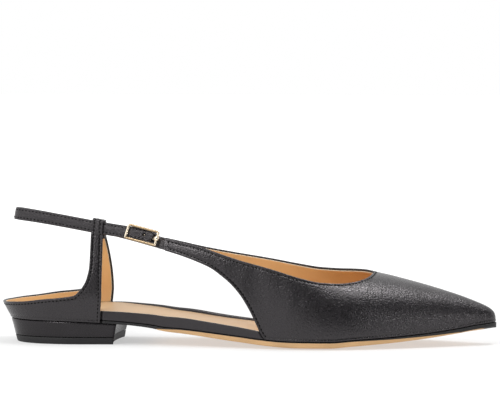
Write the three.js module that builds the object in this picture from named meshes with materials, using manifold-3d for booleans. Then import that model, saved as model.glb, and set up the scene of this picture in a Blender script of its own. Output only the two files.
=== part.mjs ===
// A right slingback shoe in millimetres: +X towards the toe, +Y towards the inner side, +Z up.
// The origin is the centre of the heel's flat underside, on the floor.
import * as THREE from "three";
import Module from "manifold-3d";
import { mergeVertices } from "three/addons/utils/BufferGeometryUtils.js";

const wasm = await Module();
wasm.setup();

// Driving sizes. Places along the shoe are measured from the rear of the cup's rim.
const SHOE_LENGTH = 272; // rear of the cup's rim to the tip of the toe
const BALL_WIDTH = 76; // across the sole at the ball
const INSTEP_HEIGHT = 39; // floor to the throat
const SEAT_HEIGHT = 12.7; // floor to the underside of the outsole over the heel
const TOE_SPRING = 9.4; // floor to the underside of the outsole at the tip
const CUP_HEIGHT = 26.3; // floor to the rim of the cup where the uprights start
const SLING_HEIGHT = 70.2; // floor to the middle of the strap behind the ankle
const ANKLE_WIDTH = 28; // between the two runs of the strap at the uprights
const UPPER_WALL = 1.8;
const OUTSOLE_THICKNESS = 3.9;
const BOARD_THICKNESS = 6.3;
const SOCK_THICKNESS = 0.6;
const LIFT_THICKNESS = 3.8;
const STRAP_WIDTH = 6.8;
const STRAP_THICKNESS = 1.8;
const TAB_WIDTH = 5.2;
const TAB_THICKNESS = 1.2;
const GAP = 0.3; // between two pieces that meet

// Ends of the main forms, from the rear of the cup's rim
const CUP_FLARE = 4.7; // how far the rim stands out behind the seam with the heel
const HEEL_PITCH = 3.7; // how far the heel leans in from that seam to the floor
const HEEL_LENGTH = 0.228 * SHOE_LENGTH; // along the seam, from the rear to the breast
const BREAST_LEAN = 2; // how far the breast leans back at the floor
const BREAST_HOLLOW = 2; // depth of the breast's curve across the shoe
const SIDE_LEAN = 1.3; // how far the sides of the heel lean in at the floor
const CUP_LENGTH = 0.2169 * SHOE_LENGTH; // rear of the rim to the front edge of the quarter, outer side
const INNER_SETBACK = 1; // how much further back that edge is on the inner side
const FRONT_RAKE = 1.2; // how much further back both edges are at the seam than at the rim
const OUTER_WING_END = 0.3452 * SHOE_LENGTH; // rear of the rim to the end of the wing at the buckle
const INNER_WING_END = 0.3217 * SHOE_LENGTH; // and of the wing on the inner side
const TIP_SETBACK = 7; // from the end of the outer wing back to the strap's tip
const BUCKLE_SETBACK = 12.8; // and back to the middle of the buckle
const TAB_REACH = 5.5; // how far the tab's free end reaches back past the end of the outer wing
const TAB_COVER = 8; // how far the wing covers the tab
const HEEL_ROUND = 0.1324 * SHOE_LENGTH; // length of the round rear end of the sole's outline
const TOE_ROUND = 0.022 * SHOE_LENGTH; // length of the round tip of the sole's outline
const SOLE_MARGIN = 0.2; // how far the outsole stands out past the vamp

// The sole from rear to tip, at as a share of SHOE_LENGTH.
// axis, outer and inner (the centre line and the half widths from it) are shares of BALL_WIDTH,
// rise of SEAT_HEIGHT and spring of TOE_SPRING (the underside), sole of OUTSOLE_THICKNESS,
// board of BOARD_THICKNESS, bevel of EDGE_BEVEL (the lift of the outsole's lower edge) and arch of
// ARCH_RISE (how much higher the board's top is at its inner edge than at its outer edge).
const EDGE_BEVEL = 1.3;
const ARCH_RISE = 1.4;
const SOLE = [
  { at: 0.0, axis: 0, outer: 0.324, inner: 0.324, rise: 1.03, spring: 0, sole: 0.32, board: 0.65, bevel: 0, arch: 0 },
  { at: 0.15, axis: 0, outer: 0.324, inner: 0.324, rise: 0.985, spring: 0, sole: 0.32, board: 0.72, bevel: 0, arch: 0 },
  { at: 0.2, axis: 0, outer: 0.311, inner: 0.309, rise: 0.94, spring: 0, sole: 0.33, board: 0.79, bevel: 0, arch: 0.6 },
  { at: 0.24, axis: 0, outer: 0.297, inner: 0.292, rise: 0.89, spring: 0, sole: 0.36, board: 0.825, bevel: 0.05, arch: 0.95 },
  { at: 0.28, axis: 0, outer: 0.295, inner: 0.279, rise: 0.795, spring: 0, sole: 0.45, board: 0.858, bevel: 0.3, arch: 0.95 },
  { at: 0.32, axis: 0, outer: 0.304, inner: 0.271, rise: 0.67, spring: 0, sole: 0.57, board: 0.91, bevel: 0.5, arch: 0.85 },
  { at: 0.34, axis: 0, outer: 0.314, inner: 0.271, rise: 0.565, spring: 0, sole: 0.68, board: 0.95, bevel: 0.6, arch: 0.75 },
  { at: 0.38, axis: 0, outer: 0.337, inner: 0.279, rise: 0.47, spring: 0, sole: 0.83, board: 0.945, bevel: 0.8, arch: 0.4 },
  { at: 0.42, axis: 0, outer: 0.366, inner: 0.297, rise: 0.37, spring: 0, sole: 0.91, board: 0.885, bevel: 0.9, arch: 0 },
  { at: 0.46, axis: 0, outer: 0.395, inner: 0.326, rise: 0.26, spring: 0, sole: 0.98, board: 0.835, bevel: 1, arch: -0.35 },
  { at: 0.5, axis: 0.001, outer: 0.422, inner: 0.36, rise: 0.165, spring: 0, sole: 1, board: 0.77, bevel: 1, arch: -0.45 },
  { at: 0.54, axis: 0.003, outer: 0.457, inner: 0.395, rise: 0.075, spring: 0, sole: 1, board: 0.67, bevel: 1, arch: -0.3 },
  { at: 0.58, axis: 0.006, outer: 0.486, inner: 0.429, rise: 0.015, spring: 0, sole: 1, board: 0.56, bevel: 1, arch: 0 },
  { at: 0.61, axis: 0.008, outer: 0.501, inner: 0.454, rise: 0, spring: 0, sole: 1, board: 0.49, bevel: 1, arch: 0 },
  { at: 0.65, axis: 0.012, outer: 0.507, inner: 0.478, rise: 0, spring: 0, sole: 1, board: 0.44, bevel: 1, arch: 0 },
  { at: 0.68, axis: 0.016, outer: 0.499, inner: 0.484, rise: 0, spring: 0, sole: 1, board: 0.43, bevel: 1, arch: 0 },
  { at: 0.72, axis: 0.02, outer: 0.473, inner: 0.468, rise: 0, spring: 0.085, sole: 1, board: 0.42, bevel: 1, arch: 0 },
  { at: 0.76, axis: 0.024, outer: 0.431, inner: 0.421, rise: 0, spring: 0.16, sole: 0.99, board: 0.41, bevel: 1, arch: 0 },
  { at: 0.8, axis: 0.028, outer: 0.378, inner: 0.362, rise: 0, spring: 0.24, sole: 0.96, board: 0.4, bevel: 1, arch: 0 },
  { at: 0.84, axis: 0.031, outer: 0.316, inner: 0.298, rise: 0, spring: 0.345, sole: 0.92, board: 0.4, bevel: 1, arch: 0 },
  { at: 0.88, axis: 0.034, outer: 0.249, inner: 0.233, rise: 0, spring: 0.465, sole: 0.88, board: 0.4, bevel: 1, arch: 0 },
  { at: 0.92, axis: 0.037, outer: 0.179, inner: 0.168, rise: 0, spring: 0.625, sole: 0.84, board: 0.38, bevel: 1, arch: 0 },
  { at: 0.96, axis: 0.039, outer: 0.112, inner: 0.107, rise: 0, spring: 0.83, sole: 0.79, board: 0.38, bevel: 1, arch: 0 },
  { at: 1.0, axis: 0.04, outer: 0.062, inner: 0.062, rise: 0, spring: 1, sole: 0.75, board: 0.38, bevel: 1, arch: 0 },
];

// The last above the sole. outer and inner, shares of BALL_WIDTH, say how far the wall stands out
// past the sole's outline. ridge is a share of INSTEP_HEIGHT, shift one of BALL_WIDTH, and full is the
// exponent of the section's curve. Behind the throat the ridge is where the open section would close.
const LAST = [
  { at: 0.3, outer: 0.092, inner: 0.118, ridge: 1.94, shift: 0, full: 2.3 },
  { at: 0.38, outer: 0.094, inner: 0.13, ridge: 1.98, shift: 0, full: 2.3 },
  { at: 0.42, outer: 0.083, inner: 0.127, ridge: 2, shift: 0, full: 2.3 },
  { at: 0.46, outer: 0.062, inner: 0.112, ridge: 2.02, shift: 0, full: 2.3 },
  { at: 0.5, outer: 0.042, inner: 0.083, ridge: 2.02, shift: 0, full: 2.3 },
  { at: 0.54, outer: 0.02, inner: 0.048, ridge: 1.93, shift: 0.002, full: 2.3 },
  { at: 0.58, outer: 0.017, inner: 0.029, ridge: 1.65, shift: 0.005, full: 2.3 },
  { at: 0.62, outer: 0.017, inner: 0.021, ridge: 1.4, shift: 0.01, full: 2.3 },
  { at: 0.66, outer: 0.017, inner: 0.018, ridge: 1.21, shift: 0.017, full: 2.3 },
  { at: 0.7, outer: 0.017, inner: 0.017, ridge: 1.095, shift: 0.024, full: 2.3 },
  { at: 0.74, outer: 0.015, inner: 0.015, ridge: 1.033, shift: 0.028, full: 2.3 },
  { at: 0.7544, outer: 0.014, inner: 0.014, ridge: 1.004, shift: 0.028, full: 2.29 },
  { at: 0.76, outer: 0.014, inner: 0.014, ridge: 0.995, shift: 0.028, full: 2.28 },
  { at: 0.8, outer: 0.013, inner: 0.013, ridge: 0.936, shift: 0.024, full: 2.24 },
  { at: 0.84, outer: 0.011, inner: 0.011, ridge: 0.865, shift: 0.018, full: 2.2 },
  { at: 0.88, outer: 0.009, inner: 0.009, ridge: 0.788, shift: 0.012, full: 2.15 },
  { at: 0.92, outer: 0.007, inner: 0.007, ridge: 0.704, shift: 0.007, full: 2.1 },
  { at: 0.95, outer: 0.005, inner: 0.005, ridge: 0.629, shift: 0.004, full: 2.1 },
  { at: 0.975, outer: 0.003, inner: 0.003, ridge: 0.556, shift: 0.002, full: 2.1 },
  { at: 0.99, outer: 0.001, inner: 0.001, ridge: 0.498, shift: 0, full: 2.1 },
  { at: 0.997, outer: 0, inner: 0, ridge: 0.442, shift: 0, full: 2.1 },
  { at: 1.0, outer: 0, inner: 0, ridge: 0.364, shift: 0, full: 2.1 },
];

// The upper edge of the vamp from the wing ends to the throat, heights as shares of INSTEP_HEIGHT
const OUTER_TOPLINE = [
  { at: 0.31, height: 1.561 },
  { at: 0.33, height: 1.53 },
  { at: 0.37, height: 1.468 },
  { at: 0.42, height: 1.39 },
  { at: 0.46, height: 1.3 },
  { at: 0.5, height: 1.213 },
  { at: 0.56, height: 1.103 },
  { at: 0.62, height: 0.976 },
  { at: 0.66, height: 0.915 },
  { at: 0.695, height: 0.898 },
  { at: 0.72, height: 0.912 },
  { at: 0.74, height: 0.944 },
  { at: 0.75, height: 0.975 },
  { at: 0.7544, height: 1 },
];
const INNER_TOPLINE = [
  { at: 0.3, height: 1.462 },
  { at: 0.32, height: 1.43 },
  { at: 0.36, height: 1.365 },
  { at: 0.4, height: 1.3 },
  { at: 0.46, height: 1.22 },
  { at: 0.54, height: 1.129 },
  { at: 0.6, height: 1.056 },
  { at: 0.64, height: 1.019 },
  { at: 0.68, height: 1.012 },
  { at: 0.71, height: 1.02 },
  { at: 0.735, height: 1.022 },
  { at: 0.748, height: 1.012 },
  { at: 0.7544, height: 1 },
];
// The lower edge of the wings down to the feather line, heights as shares of INSTEP_HEIGHT
const OUTER_CUTOUT = [
  { at: 0.31, height: 1.397 },
  { at: 0.33, height: 1.36 },
  { at: 0.376, height: 1.274 },
  { at: 0.415, height: 1.18 },
  { at: 0.44, height: 1.103 },
  { at: 0.46, height: 1.007 },
  { at: 0.48, height: 0.892 },
  { at: 0.5, height: 0.734 },
  { at: 0.51, height: 0.63 },
  { at: 0.52, height: 0.505 },
  { at: 0.53, height: 0.36 },
  { at: 0.5375, height: 0.246 },
  { at: 0.544, height: 0.172 },
  { at: 0.549, height: 0.12 },
];
const INNER_CUTOUT = [
  { at: 0.3, height: 1.282 },
  { at: 0.32, height: 1.25 },
  { at: 0.37, height: 1.17 },
  { at: 0.41, height: 1.1 },
  { at: 0.44, height: 1.035 },
  { at: 0.46, height: 0.96 },
  { at: 0.48, height: 0.86 },
  { at: 0.5, height: 0.715 },
  { at: 0.51, height: 0.617 },
  { at: 0.52, height: 0.498 },
  { at: 0.53, height: 0.36 },
  { at: 0.5375, height: 0.246 },
  { at: 0.544, height: 0.172 },
  { at: 0.549, height: 0.12 },
];

const THROAT = OUTER_TOPLINE.at(-1).at * SHOE_LENGTH; // rear of the rim to the throat on the ridge
const VAMP_START = OUTER_CUTOUT.at(-1).at * SHOE_LENGTH; // rear of the rim to the foot of the cut-outs

// The rim of the cup from its rear to the uprights, heights as shares of CUP_HEIGHT
const RIM = [
  { at: 0, height: 0.83 },
  { at: 0.02, height: 0.85 },
  { at: 0.05, height: 0.876 },
  { at: 0.1, height: 0.945 },
  { at: 0.15, height: 1 },
];
// How wide the quarter is at each height, as a share of its width at the seam. at is a share of
// CUP_HEIGHT up to the rim at 1, and from there to 2 a share of the way up to the loops.
const QUARTER_SPREAD = [
  { at: 0.45, spread: 1 },
  { at: 1, spread: 1.1 },
  { at: 1.3, spread: 1.05 },
  { at: 1.6, spread: 0.95 },
  { at: 1.88, spread: 0.845 },
  { at: 2, spread: 0.8 },
];
// An upright from the rim (at 0) to its loop (at 1), its width as a share of SHOULDER_WIDTH
const SHOULDER_WIDTH = 18;
const UPRIGHT = [
  { at: 0, width: 1 },
  { at: 0.012, width: 0.88 },
  { at: 0.03, width: 0.806 },
  { at: 0.06, width: 0.74 },
  { at: 0.15, width: 0.59 },
  { at: 0.29, width: 0.462 },
  { at: 0.5, width: 0.389 },
  { at: 1, width: 0.374 },
];
// How far the front edge of each upright runs forward from the rim to its loop
const OUTER_UPRIGHT_LEAN = -0.3;
const INNER_UPRIGHT_LEAN = -3.4;

// The strap from its tip in the buckle, round behind the ankle, to the inner wing. at is a share of
// SHOE_LENGTH. reach runs from 0 round the ankle to 1 behind the wings: side is a share of ANKLE_WIDTH
// at 0 and of the span of the wings at 1, and height one of SLING_HEIGHT and of the wing's height there.
// lean is the inward tilt in degrees.
const SLING = [
  { at: (OUTER_WING_END - TIP_SETBACK) / SHOE_LENGTH, reach: 1, side: -0.471, height: 1.088, lean: 19 },
  { at: 0.3, reach: 0.9, side: -0.466, height: 1.072, lean: 18 },
  { at: 0.275, reach: 0.75, side: -0.472, height: 1.044, lean: 17 },
  { at: 0.23, reach: 0.5, side: -0.448, height: 1.003, lean: 15 },
  { at: 0.1875, reach: 0.25, side: -0.436, height: 0.969, lean: 13 },
  { at: 0.125, reach: 0.05, side: -0.393, height: 0.965, lean: 12 },
  { at: 0.075, reach: 0, side: -0.33, height: 0.983, lean: 11 },
  { at: 0.045, reach: 0, side: -0.25, height: 0.996, lean: 11 },
  { at: 0.032, reach: 0, side: -0.145, height: 1, lean: 11 },
  { at: 0.0283, reach: 0, side: 0, height: 0.999, lean: 11 },
  { at: 0.032, reach: 0, side: 0.145, height: 0.994, lean: 11 },
  { at: 0.045, reach: 0, side: 0.25, height: 0.983, lean: 11 },
  { at: 0.075, reach: 0, side: 0.33, height: 0.961, lean: 11 },
  { at: 0.116, reach: 0.05, side: 0.389, height: 0.942, lean: 12 },
  { at: 0.176, reach: 0.25, side: 0.438, height: 0.948, lean: 13 },
  { at: 0.216, reach: 0.5, side: 0.448, height: 0.989, lean: 15 },
  { at: 0.26, reach: 0.8, side: 0.458, height: 1.033, lean: 17 },
  { at: 0.3, reach: 1, side: 0.469, height: 1.047, lean: 19 },
  { at: 0.348, reach: 1, side: 0.511, height: 0.974, lean: 20 },
];

const OUTER = -1; // the side of the little toe
const INNER = 1;

// A smooth curve through one column of a table, with no overshoot between the rows
function column(rows, key) {
  const last = rows.length - 1;
  const steps = [];
  const rates = [];
  for (let i = 0; i < last; i++) {
    steps.push(rows[i + 1].at - rows[i].at);
    rates.push((rows[i + 1][key] - rows[i][key]) / steps[i]);
  }
  const slopes = rows.map((row, i) => {
    if (i === 0) return rates[0];
    if (i === last) return rates[last - 1];
    if (rates[i - 1] * rates[i] <= 0) return 0;
    const before = 2 * steps[i] + steps[i - 1];
    const after = steps[i] + 2 * steps[i - 1];
    return (before + after) / (before / rates[i - 1] + after / rates[i]);
  });
  return (at) => {
    const place = Math.min(Math.max(at, rows[0].at), rows[last].at);
    let i = 0;
    while (i < last - 1 && place > rows[i + 1].at) i++;
    const t = (place - rows[i].at) / steps[i];
    const rise = rates[i] * steps[i];
    const enter = slopes[i] * steps[i];
    const leave = slopes[i + 1] * steps[i];
    const bend = (3 * rise - 2 * enter - leave) * t ** 2 + (enter + leave - 2 * rise) * t ** 3;
    return rows[i][key] + enter * t + bend;
  };
}

function columns(rows) {
  const keys = Object.keys(rows[0]).filter((key) => key !== "at");
  return Object.fromEntries(keys.map((key) => [key, column(rows, key)]));
}

const soleAt = columns(SOLE);
const lastAt = columns(LAST);
const toplineAt = { [OUTER]: column(OUTER_TOPLINE, "height"), [INNER]: column(INNER_TOPLINE, "height") };
const cutoutAt = { [OUTER]: column(OUTER_CUTOUT, "height"), [INNER]: column(INNER_CUTOUT, "height") };

// Heights of the layers of the sole at x
const underside = (x) =>
  soleAt.rise(x / SHOE_LENGTH) * SEAT_HEIGHT + soleAt.spring(x / SHOE_LENGTH) * TOE_SPRING;
const bevelHeight = (x) => soleAt.bevel(x / SHOE_LENGTH) * EDGE_BEVEL;
const soleTop = (x) => underside(x) + soleAt.sole(x / SHOE_LENGTH) * OUTSOLE_THICKNESS;
const boardBottom = (x) => soleTop(x) + GAP;
// across runs from 0 at the outer edge to 1 at the inner edge
const boardTop = (x, across) =>
  boardBottom(x) + soleAt.board(x / SHOE_LENGTH) * BOARD_THICKNESS + soleAt.arch(x / SHOE_LENGTH) * ARCH_RISE * across;
const featherHeight = (x) => soleTop(x) + GAP;

// The outline of the upper where it meets the sole: the half width on one side, rounded at both ends
const SEAM_REAR = CUP_FLARE;
const roundedEnd = (distance, length, power) =>
  distance >= length ? 1 : (1 - (1 - Math.max(distance, 0) / length) ** power) ** (1 / power);
const HEEL_FULLNESS = 2.2;
function halfWidth(x, side) {
  const share = side === OUTER ? soleAt.outer : soleAt.inner;
  const rear = roundedEnd(x - SEAM_REAR, HEEL_ROUND, HEEL_FULLNESS);
  const front = roundedEnd(SHOE_LENGTH - x, TOE_ROUND, 2);
  return share(x / SHOE_LENGTH) * BALL_WIDTH * rear * front;
}
const axisAt = (x) => soleAt.axis(x / SHOE_LENGTH) * BALL_WIDTH;

// Places along the outline, close together on the round ends
function outlineStations(from, to, roundRear, roundFront, extra, pitch) {
  const places = new Set([from, to, ...extra]);
  const REAR_STEPS = 7;
  const FRONT_STEPS = 5;
  for (let i = 1; i <= REAR_STEPS; i++) {
    if (roundRear) places.add(from + HEEL_ROUND * (1 - Math.cos((i / REAR_STEPS) * (Math.PI / 2))));
  }
  for (let i = 1; i <= FRONT_STEPS; i++) {
    if (roundFront) places.add(to - TOE_ROUND * (1 - Math.cos((i / FRONT_STEPS) * (Math.PI / 2))));
  }
  const start = roundRear ? from + HEEL_ROUND : from;
  const end = roundFront ? to - TOE_ROUND : to;
  const count = Math.ceil((end - start) / pitch);
  for (let i = 1; i < count; i++) places.add(start + ((end - start) * i) / count);
  const sorted = [...places].filter((x) => x >= from && x <= to).sort((a, b) => a - b);
  return sorted.filter((x, i) => i === 0 || x - sorted[i - 1] > GAP / 2);
}

// Points of the outline at x on both sides with the direction that points out of it
function outlinePair(x) {
  const STEP = 0.05;
  const pair = {};
  for (const side of [OUTER, INNER]) {
    const edge = (place) => axisAt(place) + side * halfWidth(place, side);
    const lower = Math.max(x - STEP, SEAM_REAR);
    const upper = Math.min(x + STEP, SHOE_LENGTH);
    const run = new THREE.Vector2(upper - lower, edge(upper) - edge(lower)).normalize();
    const out = new THREE.Vector2(-run.y, run.x).multiplyScalar(side);
    if (x <= SEAM_REAR) out.set(-1, 0);
    if (x >= SHOE_LENGTH) out.set(1, 0);
    pair[side] = { x, y: edge(x), out };
  }
  return pair;
}

// A closed mesh from triangles given by points; equal points are one vertex
class Shell {
  constructor() {
    this.points = [];
    this.keys = new Map();
    this.faces = [];
  }
  vertex(point) {
    const PLACES = 4;
    const key = point.toArray().map((v) => Math.round(v * 10 ** PLACES) + 0).join(" ");
    if (!this.keys.has(key)) {
      this.keys.set(key, this.points.length);
      this.points.push(point.clone());
    }
    return this.keys.get(key);
  }
  face(a, b, c) {
    const ids = [a, b, c].map((point) => this.vertex(point));
    if (new Set(ids).size === 3) this.faces.push(ids);
  }
  quad(a, b, c, d) {
    this.face(a, b, c);
    this.face(a, c, d);
  }
  geometry() {
    const made = new THREE.BufferGeometry();
    made.setAttribute("position", new THREE.Float32BufferAttribute(this.points.flatMap((p) => p.toArray()), 3));
    made.setIndex(this.faces.flat());
    return made;
  }
}

// A layer of the sole: levels from its top to its underside, each with an inset from the outline,
// a height for a place along and a share across and, where the level is slid along the shoe, the slide
// at the rear and at the front.
function layer({ stations, levels, hollow = 0, across = 4 }) {
  const shell = new Shell();
  const pairs = stations.map(outlinePair);
  const rows = levels.map(({ inset, height, slideRear = 0, slideFront = 0 }) =>
    pairs.map((pair, i) => {
      const along = i / (pairs.length - 1);
      const ends = [OUTER, INNER].map((side) => {
        const { x, y, out } = pair[side];
        return new THREE.Vector2(x, y).addScaledVector(out, -inset(x, side));
      });
      return Array.from({ length: across + 1 }, (_, k) => {
        const v = k / across;
        const place = new THREE.Vector2().lerpVectors(ends[0], ends[1], v);
        const slide = slideRear * (1 - along) + slideFront * along;
        const dent = hollow * (1 - (2 * v - 1) ** 2) * along ** 2;
        return new THREE.Vector3(place.x + slide - dent, place.y, height(pair[OUTER].x, v));
      });
    }),
  );
  const top = rows[0];
  const bottom = rows[rows.length - 1];
  for (let i = 0; i + 1 < pairs.length; i++) {
    for (let k = 0; k < across; k++) {
      shell.quad(top[i][k], top[i + 1][k], top[i + 1][k + 1], top[i][k + 1]);
      shell.quad(bottom[i][k], bottom[i][k + 1], bottom[i + 1][k + 1], bottom[i + 1][k]);
    }
  }
  const front = pairs.length - 1;
  for (let level = 0; level + 1 < rows.length; level++) {
    const upper = rows[level];
    const lower = rows[level + 1];
    for (let i = 0; i < front; i++) {
      shell.quad(upper[i][0], lower[i][0], lower[i + 1][0], upper[i + 1][0]);
      shell.quad(upper[i + 1][across], lower[i + 1][across], lower[i][across], upper[i][across]);
    }
    for (let k = 0; k < across; k++) {
      shell.quad(upper[front][k], lower[front][k], lower[front][k + 1], upper[front][k + 1]);
      shell.quad(upper[0][k + 1], lower[0][k + 1], lower[0][k], upper[0][k]);
    }
  }
  return shell.geometry();
}

// The wall of an upper: patches are grids of points of its outer face, and the inner face lies a
// wall's thickness inside them.
function wall(patches, thickness) {
  const outer = new Shell();
  for (const { grid, flip } of patches) {
    for (let i = 0; i + 1 < grid.length; i++) {
      for (let j = 0; j + 1 < grid[i].length; j++) {
        const corners = [grid[i][j], grid[i + 1][j], grid[i + 1][j + 1], grid[i][j + 1]];
        if (flip) corners.reverse();
        outer.quad(...corners);
      }
    }
  }
  const count = outer.points.length;
  const normals = outer.points.map(() => new THREE.Vector3());
  const edgeUse = new Map();
  for (const [a, b, c] of outer.faces) {
    const ab = outer.points[b].clone().sub(outer.points[a]);
    const ac = outer.points[c].clone().sub(outer.points[a]);
    const normal = ab.cross(ac);
    for (const id of [a, b, c]) normals[id].add(normal);
    for (const [from, to] of [[a, b], [b, c], [c, a]]) {
      const key = Math.min(from, to) + " " + Math.max(from, to);
      edgeUse.set(key, [...(edgeUse.get(key) ?? []), [from, to]]);
    }
  }
  const inner = outer.points.map((p, i) => p.clone().addScaledVector(normals[i].normalize(), -thickness));
  const faces = [...outer.faces, ...outer.faces.map(([a, b, c]) => [a + count, c + count, b + count])];
  for (const uses of edgeUse.values()) {
    if (uses.length > 1) continue;
    const [from, to] = uses[0];
    faces.push([to, from, from + count], [to, from + count, to + count]);
  }
  const made = new THREE.BufferGeometry();
  const places = [...outer.points, ...inner].flatMap((p) => p.toArray());
  made.setAttribute("position", new THREE.Float32BufferAttribute(places, 3));
  made.setIndex(faces.flat());
  return made;
}

function solid(geometry, matrix = new THREE.Matrix4()) {
  const bare = new THREE.BufferGeometry();
  const placed = geometry.index ? geometry.toNonIndexed() : geometry.clone();
  bare.setAttribute("position", placed.getAttribute("position"));
  const merged = mergeVertices(bare.applyMatrix4(matrix), 1e-4);
  return new wasm.Manifold(
    new wasm.Mesh({
      numProp: 3,
      vertProperties: merged.attributes.position.array,
      triVerts: new Uint32Array(merged.index.array),
    }),
  );
}

function geometryOf(made) {
  const mesh = made.getMesh();
  const geometry = new THREE.BufferGeometry();
  geometry.setAttribute("position", new THREE.BufferAttribute(mesh.vertProperties, 3));
  geometry.setIndex(new THREE.BufferAttribute(mesh.triVerts, 1));
  return geometry;
}

// Outsole
// Rings of the rounded lower edge: how far in from the outline, the most as a share of the half width,
// and how much of the bevel is left there
const EDGE_RINGS = [
  { inset: 3, most: 0.18, left: 0.5 },
  { inset: 9, most: 0.5, left: 0 },
];
const STATION_PITCH = 8.5;
const SEAT_END = CUP_LENGTH; // in front of it the board and the outsole reach the full outline
const SEAT_RECESS = UPPER_WALL + GAP;
const BALL_FLAT = [0.61, 0.68].map((share) => share * SHOE_LENGTH);
const soleRecess = (x) => (x < SEAT_END ? SEAT_RECESS : -SOLE_MARGIN * soleAt.bevel(x / SHOE_LENGTH));
const soleStations = outlineStations(SEAM_REAR, SHOE_LENGTH, true, true,
  [SEAT_END - GAP, SEAT_END, ...BALL_FLAT], STATION_PITCH);
function outsole() {
  const rings = EDGE_RINGS.map(({ inset, most, left }) => ({
    inset: (x, side) => soleRecess(x) + Math.min(inset, most * halfWidth(x, side)),
    height: (x) => underside(x) + left * bevelHeight(x),
  }));
  return layer({
    stations: soleStations,
    levels: [
      { inset: soleRecess, height: soleTop },
      { inset: soleRecess, height: (x) => underside(x) + bevelHeight(x) },
      ...rings,
    ],
  });
}

// Heel block and lift. Both follow the seam under the quarter and lean in towards the floor.
const HEEL_BREAST = SEAM_REAR + HEEL_LENGTH;
const HEEL_EDGE = 0.8; // rounding of the block's upper edge
const heelStations = outlineStations(SEAM_REAR, HEEL_BREAST, true, false, [], STATION_PITCH);
// How far the heel has leant in at a height: 0 at the seam, 1 on the floor
const leanAt = (height) => 1 - height / SEAT_HEIGHT;
function heelLevel(height, extra, shift = 0) {
  const lean = leanAt(height);
  return {
    inset: () => SIDE_LEAN * lean + extra,
    height: (x) => height + shift * (underside(x) - SEAT_HEIGHT),
    slideRear: (HEEL_PITCH - SIDE_LEAN) * lean,
    slideFront: -BREAST_LEAN * lean,
  };
}
function heelBlock() {
  const top = SEAT_HEIGHT - GAP;
  return layer({
    stations: heelStations,
    hollow: BREAST_HOLLOW,
    levels: [
      heelLevel(top, HEEL_EDGE / 2, 1),
      heelLevel(top - HEEL_EDGE, 0, 1),
      heelLevel((top + LIFT_THICKNESS) / 2, HEEL_EDGE / 8, 0.5),
      heelLevel(LIFT_THICKNESS + GAP / 2, 0),
    ],
  });
}
function topLift() {
  return layer({
    stations: heelStations,
    hollow: BREAST_HOLLOW,
    levels: [heelLevel(LIFT_THICKNESS - GAP / 2, 0), heelLevel(HEEL_EDGE / 2, 0), heelLevel(0, HEEL_EDGE / 2)],
  });
}

// Insole board: full width in the waist, where its wrapped edge shows, and inside the walls elsewhere
const WALL_RECESS = UPPER_WALL + GAP;
const FOOT_RUN = 3.1; // length of the cut-out's edge below the top of the board
const BOARD_STEP = VAMP_START - FOOT_RUN;
const boardRecess = (x) => (x < SEAT_END || x > BOARD_STEP - GAP ? WALL_RECESS : 0);
const BOARD_EDGE = 0.6;
const boardStations = outlineStations(SEAM_REAR, SHOE_LENGTH, true, true,
  [SEAT_END - GAP, SEAT_END, BOARD_STEP - GAP, BOARD_STEP], STATION_PITCH);
function insoleBoard() {
  return layer({
    stations: boardStations,
    levels: [
      { inset: (x) => boardRecess(x) + BOARD_EDGE, height: boardTop },
      { inset: boardRecess, height: (x, across) => boardTop(x, across) - BOARD_EDGE },
      { inset: boardRecess, height: boardBottom },
    ],
  });
}
const SOCK_INSET = { [OUTER]: 1, [INNER]: 2 }; // from the edge of the board
const SOCK_BEVEL = 1; // how much further in its top face ends
const SOCK_GAP = 0.1; // between the board and the sock that lies on it
function sockLining() {
  const inset = (x, side) => boardRecess(x) + SOCK_INSET[side];
  return layer({
    stations: boardStations,
    levels: [
      {
        inset: (x, side) => inset(x, side) + SOCK_BEVEL,
        height: (x, across) => boardTop(x, across) + SOCK_GAP + SOCK_THICKNESS,
      },
      { inset, height: (x, across) => boardTop(x, across) + SOCK_GAP },
    ],
  });
}

// In front of the cut-outs the wall stands over the outline of the sole; the wings hang free of it
const TUCK_RUN = 12;
const tuckShare = (x) => Math.min(1, Math.max(0, (x - VAMP_START) / TUCK_RUN + 1));
// A point of the vamp's outer face: angle runs from 0 at the feather line to a right angle on the ridge
function vampSection(x, side) {
  const at = x / SHOE_LENGTH;
  const out = (side === OUTER ? lastAt.outer : lastAt.inner)(at) * BALL_WIDTH;
  const feather = halfWidth(x, side);
  const low = featherHeight(x);
  const rise = lastAt.ridge(at) * INSTEP_HEIGHT - low;
  const shift = lastAt.shift(at) * BALL_WIDTH * roundedEnd(SHOE_LENGTH - x, TOE_ROUND, 2);
  const power = lastAt.full(at);
  const wide = feather + out;
  return {
    low,
    angle: (height) => Math.asin(Math.min(1, Math.max(0, (height - low) / rise)) ** (power / 2)),
    point(angle) {
      const up = Math.sin(angle) ** (2 / power);
      const half = (wide - side * shift) * Math.max(Math.cos(angle), 0) ** (2 / power);
      const tuck = out * (1 - up) ** 3 * tuckShare(x);
      return new THREE.Vector3(x, axisAt(x) + shift + side * (half - tuck), low + rise * up);
    },
  };
}

const VAMP_ROWS = 8;
const WING_COLUMNS = 14;
const BODY_COLUMNS = 9;
const TOE_COLUMNS = 8;
const TIP_COLUMNS = 5;
const WING_ROUND = 1.2; // how far the middle of a wing's end stands out past its corners
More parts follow.
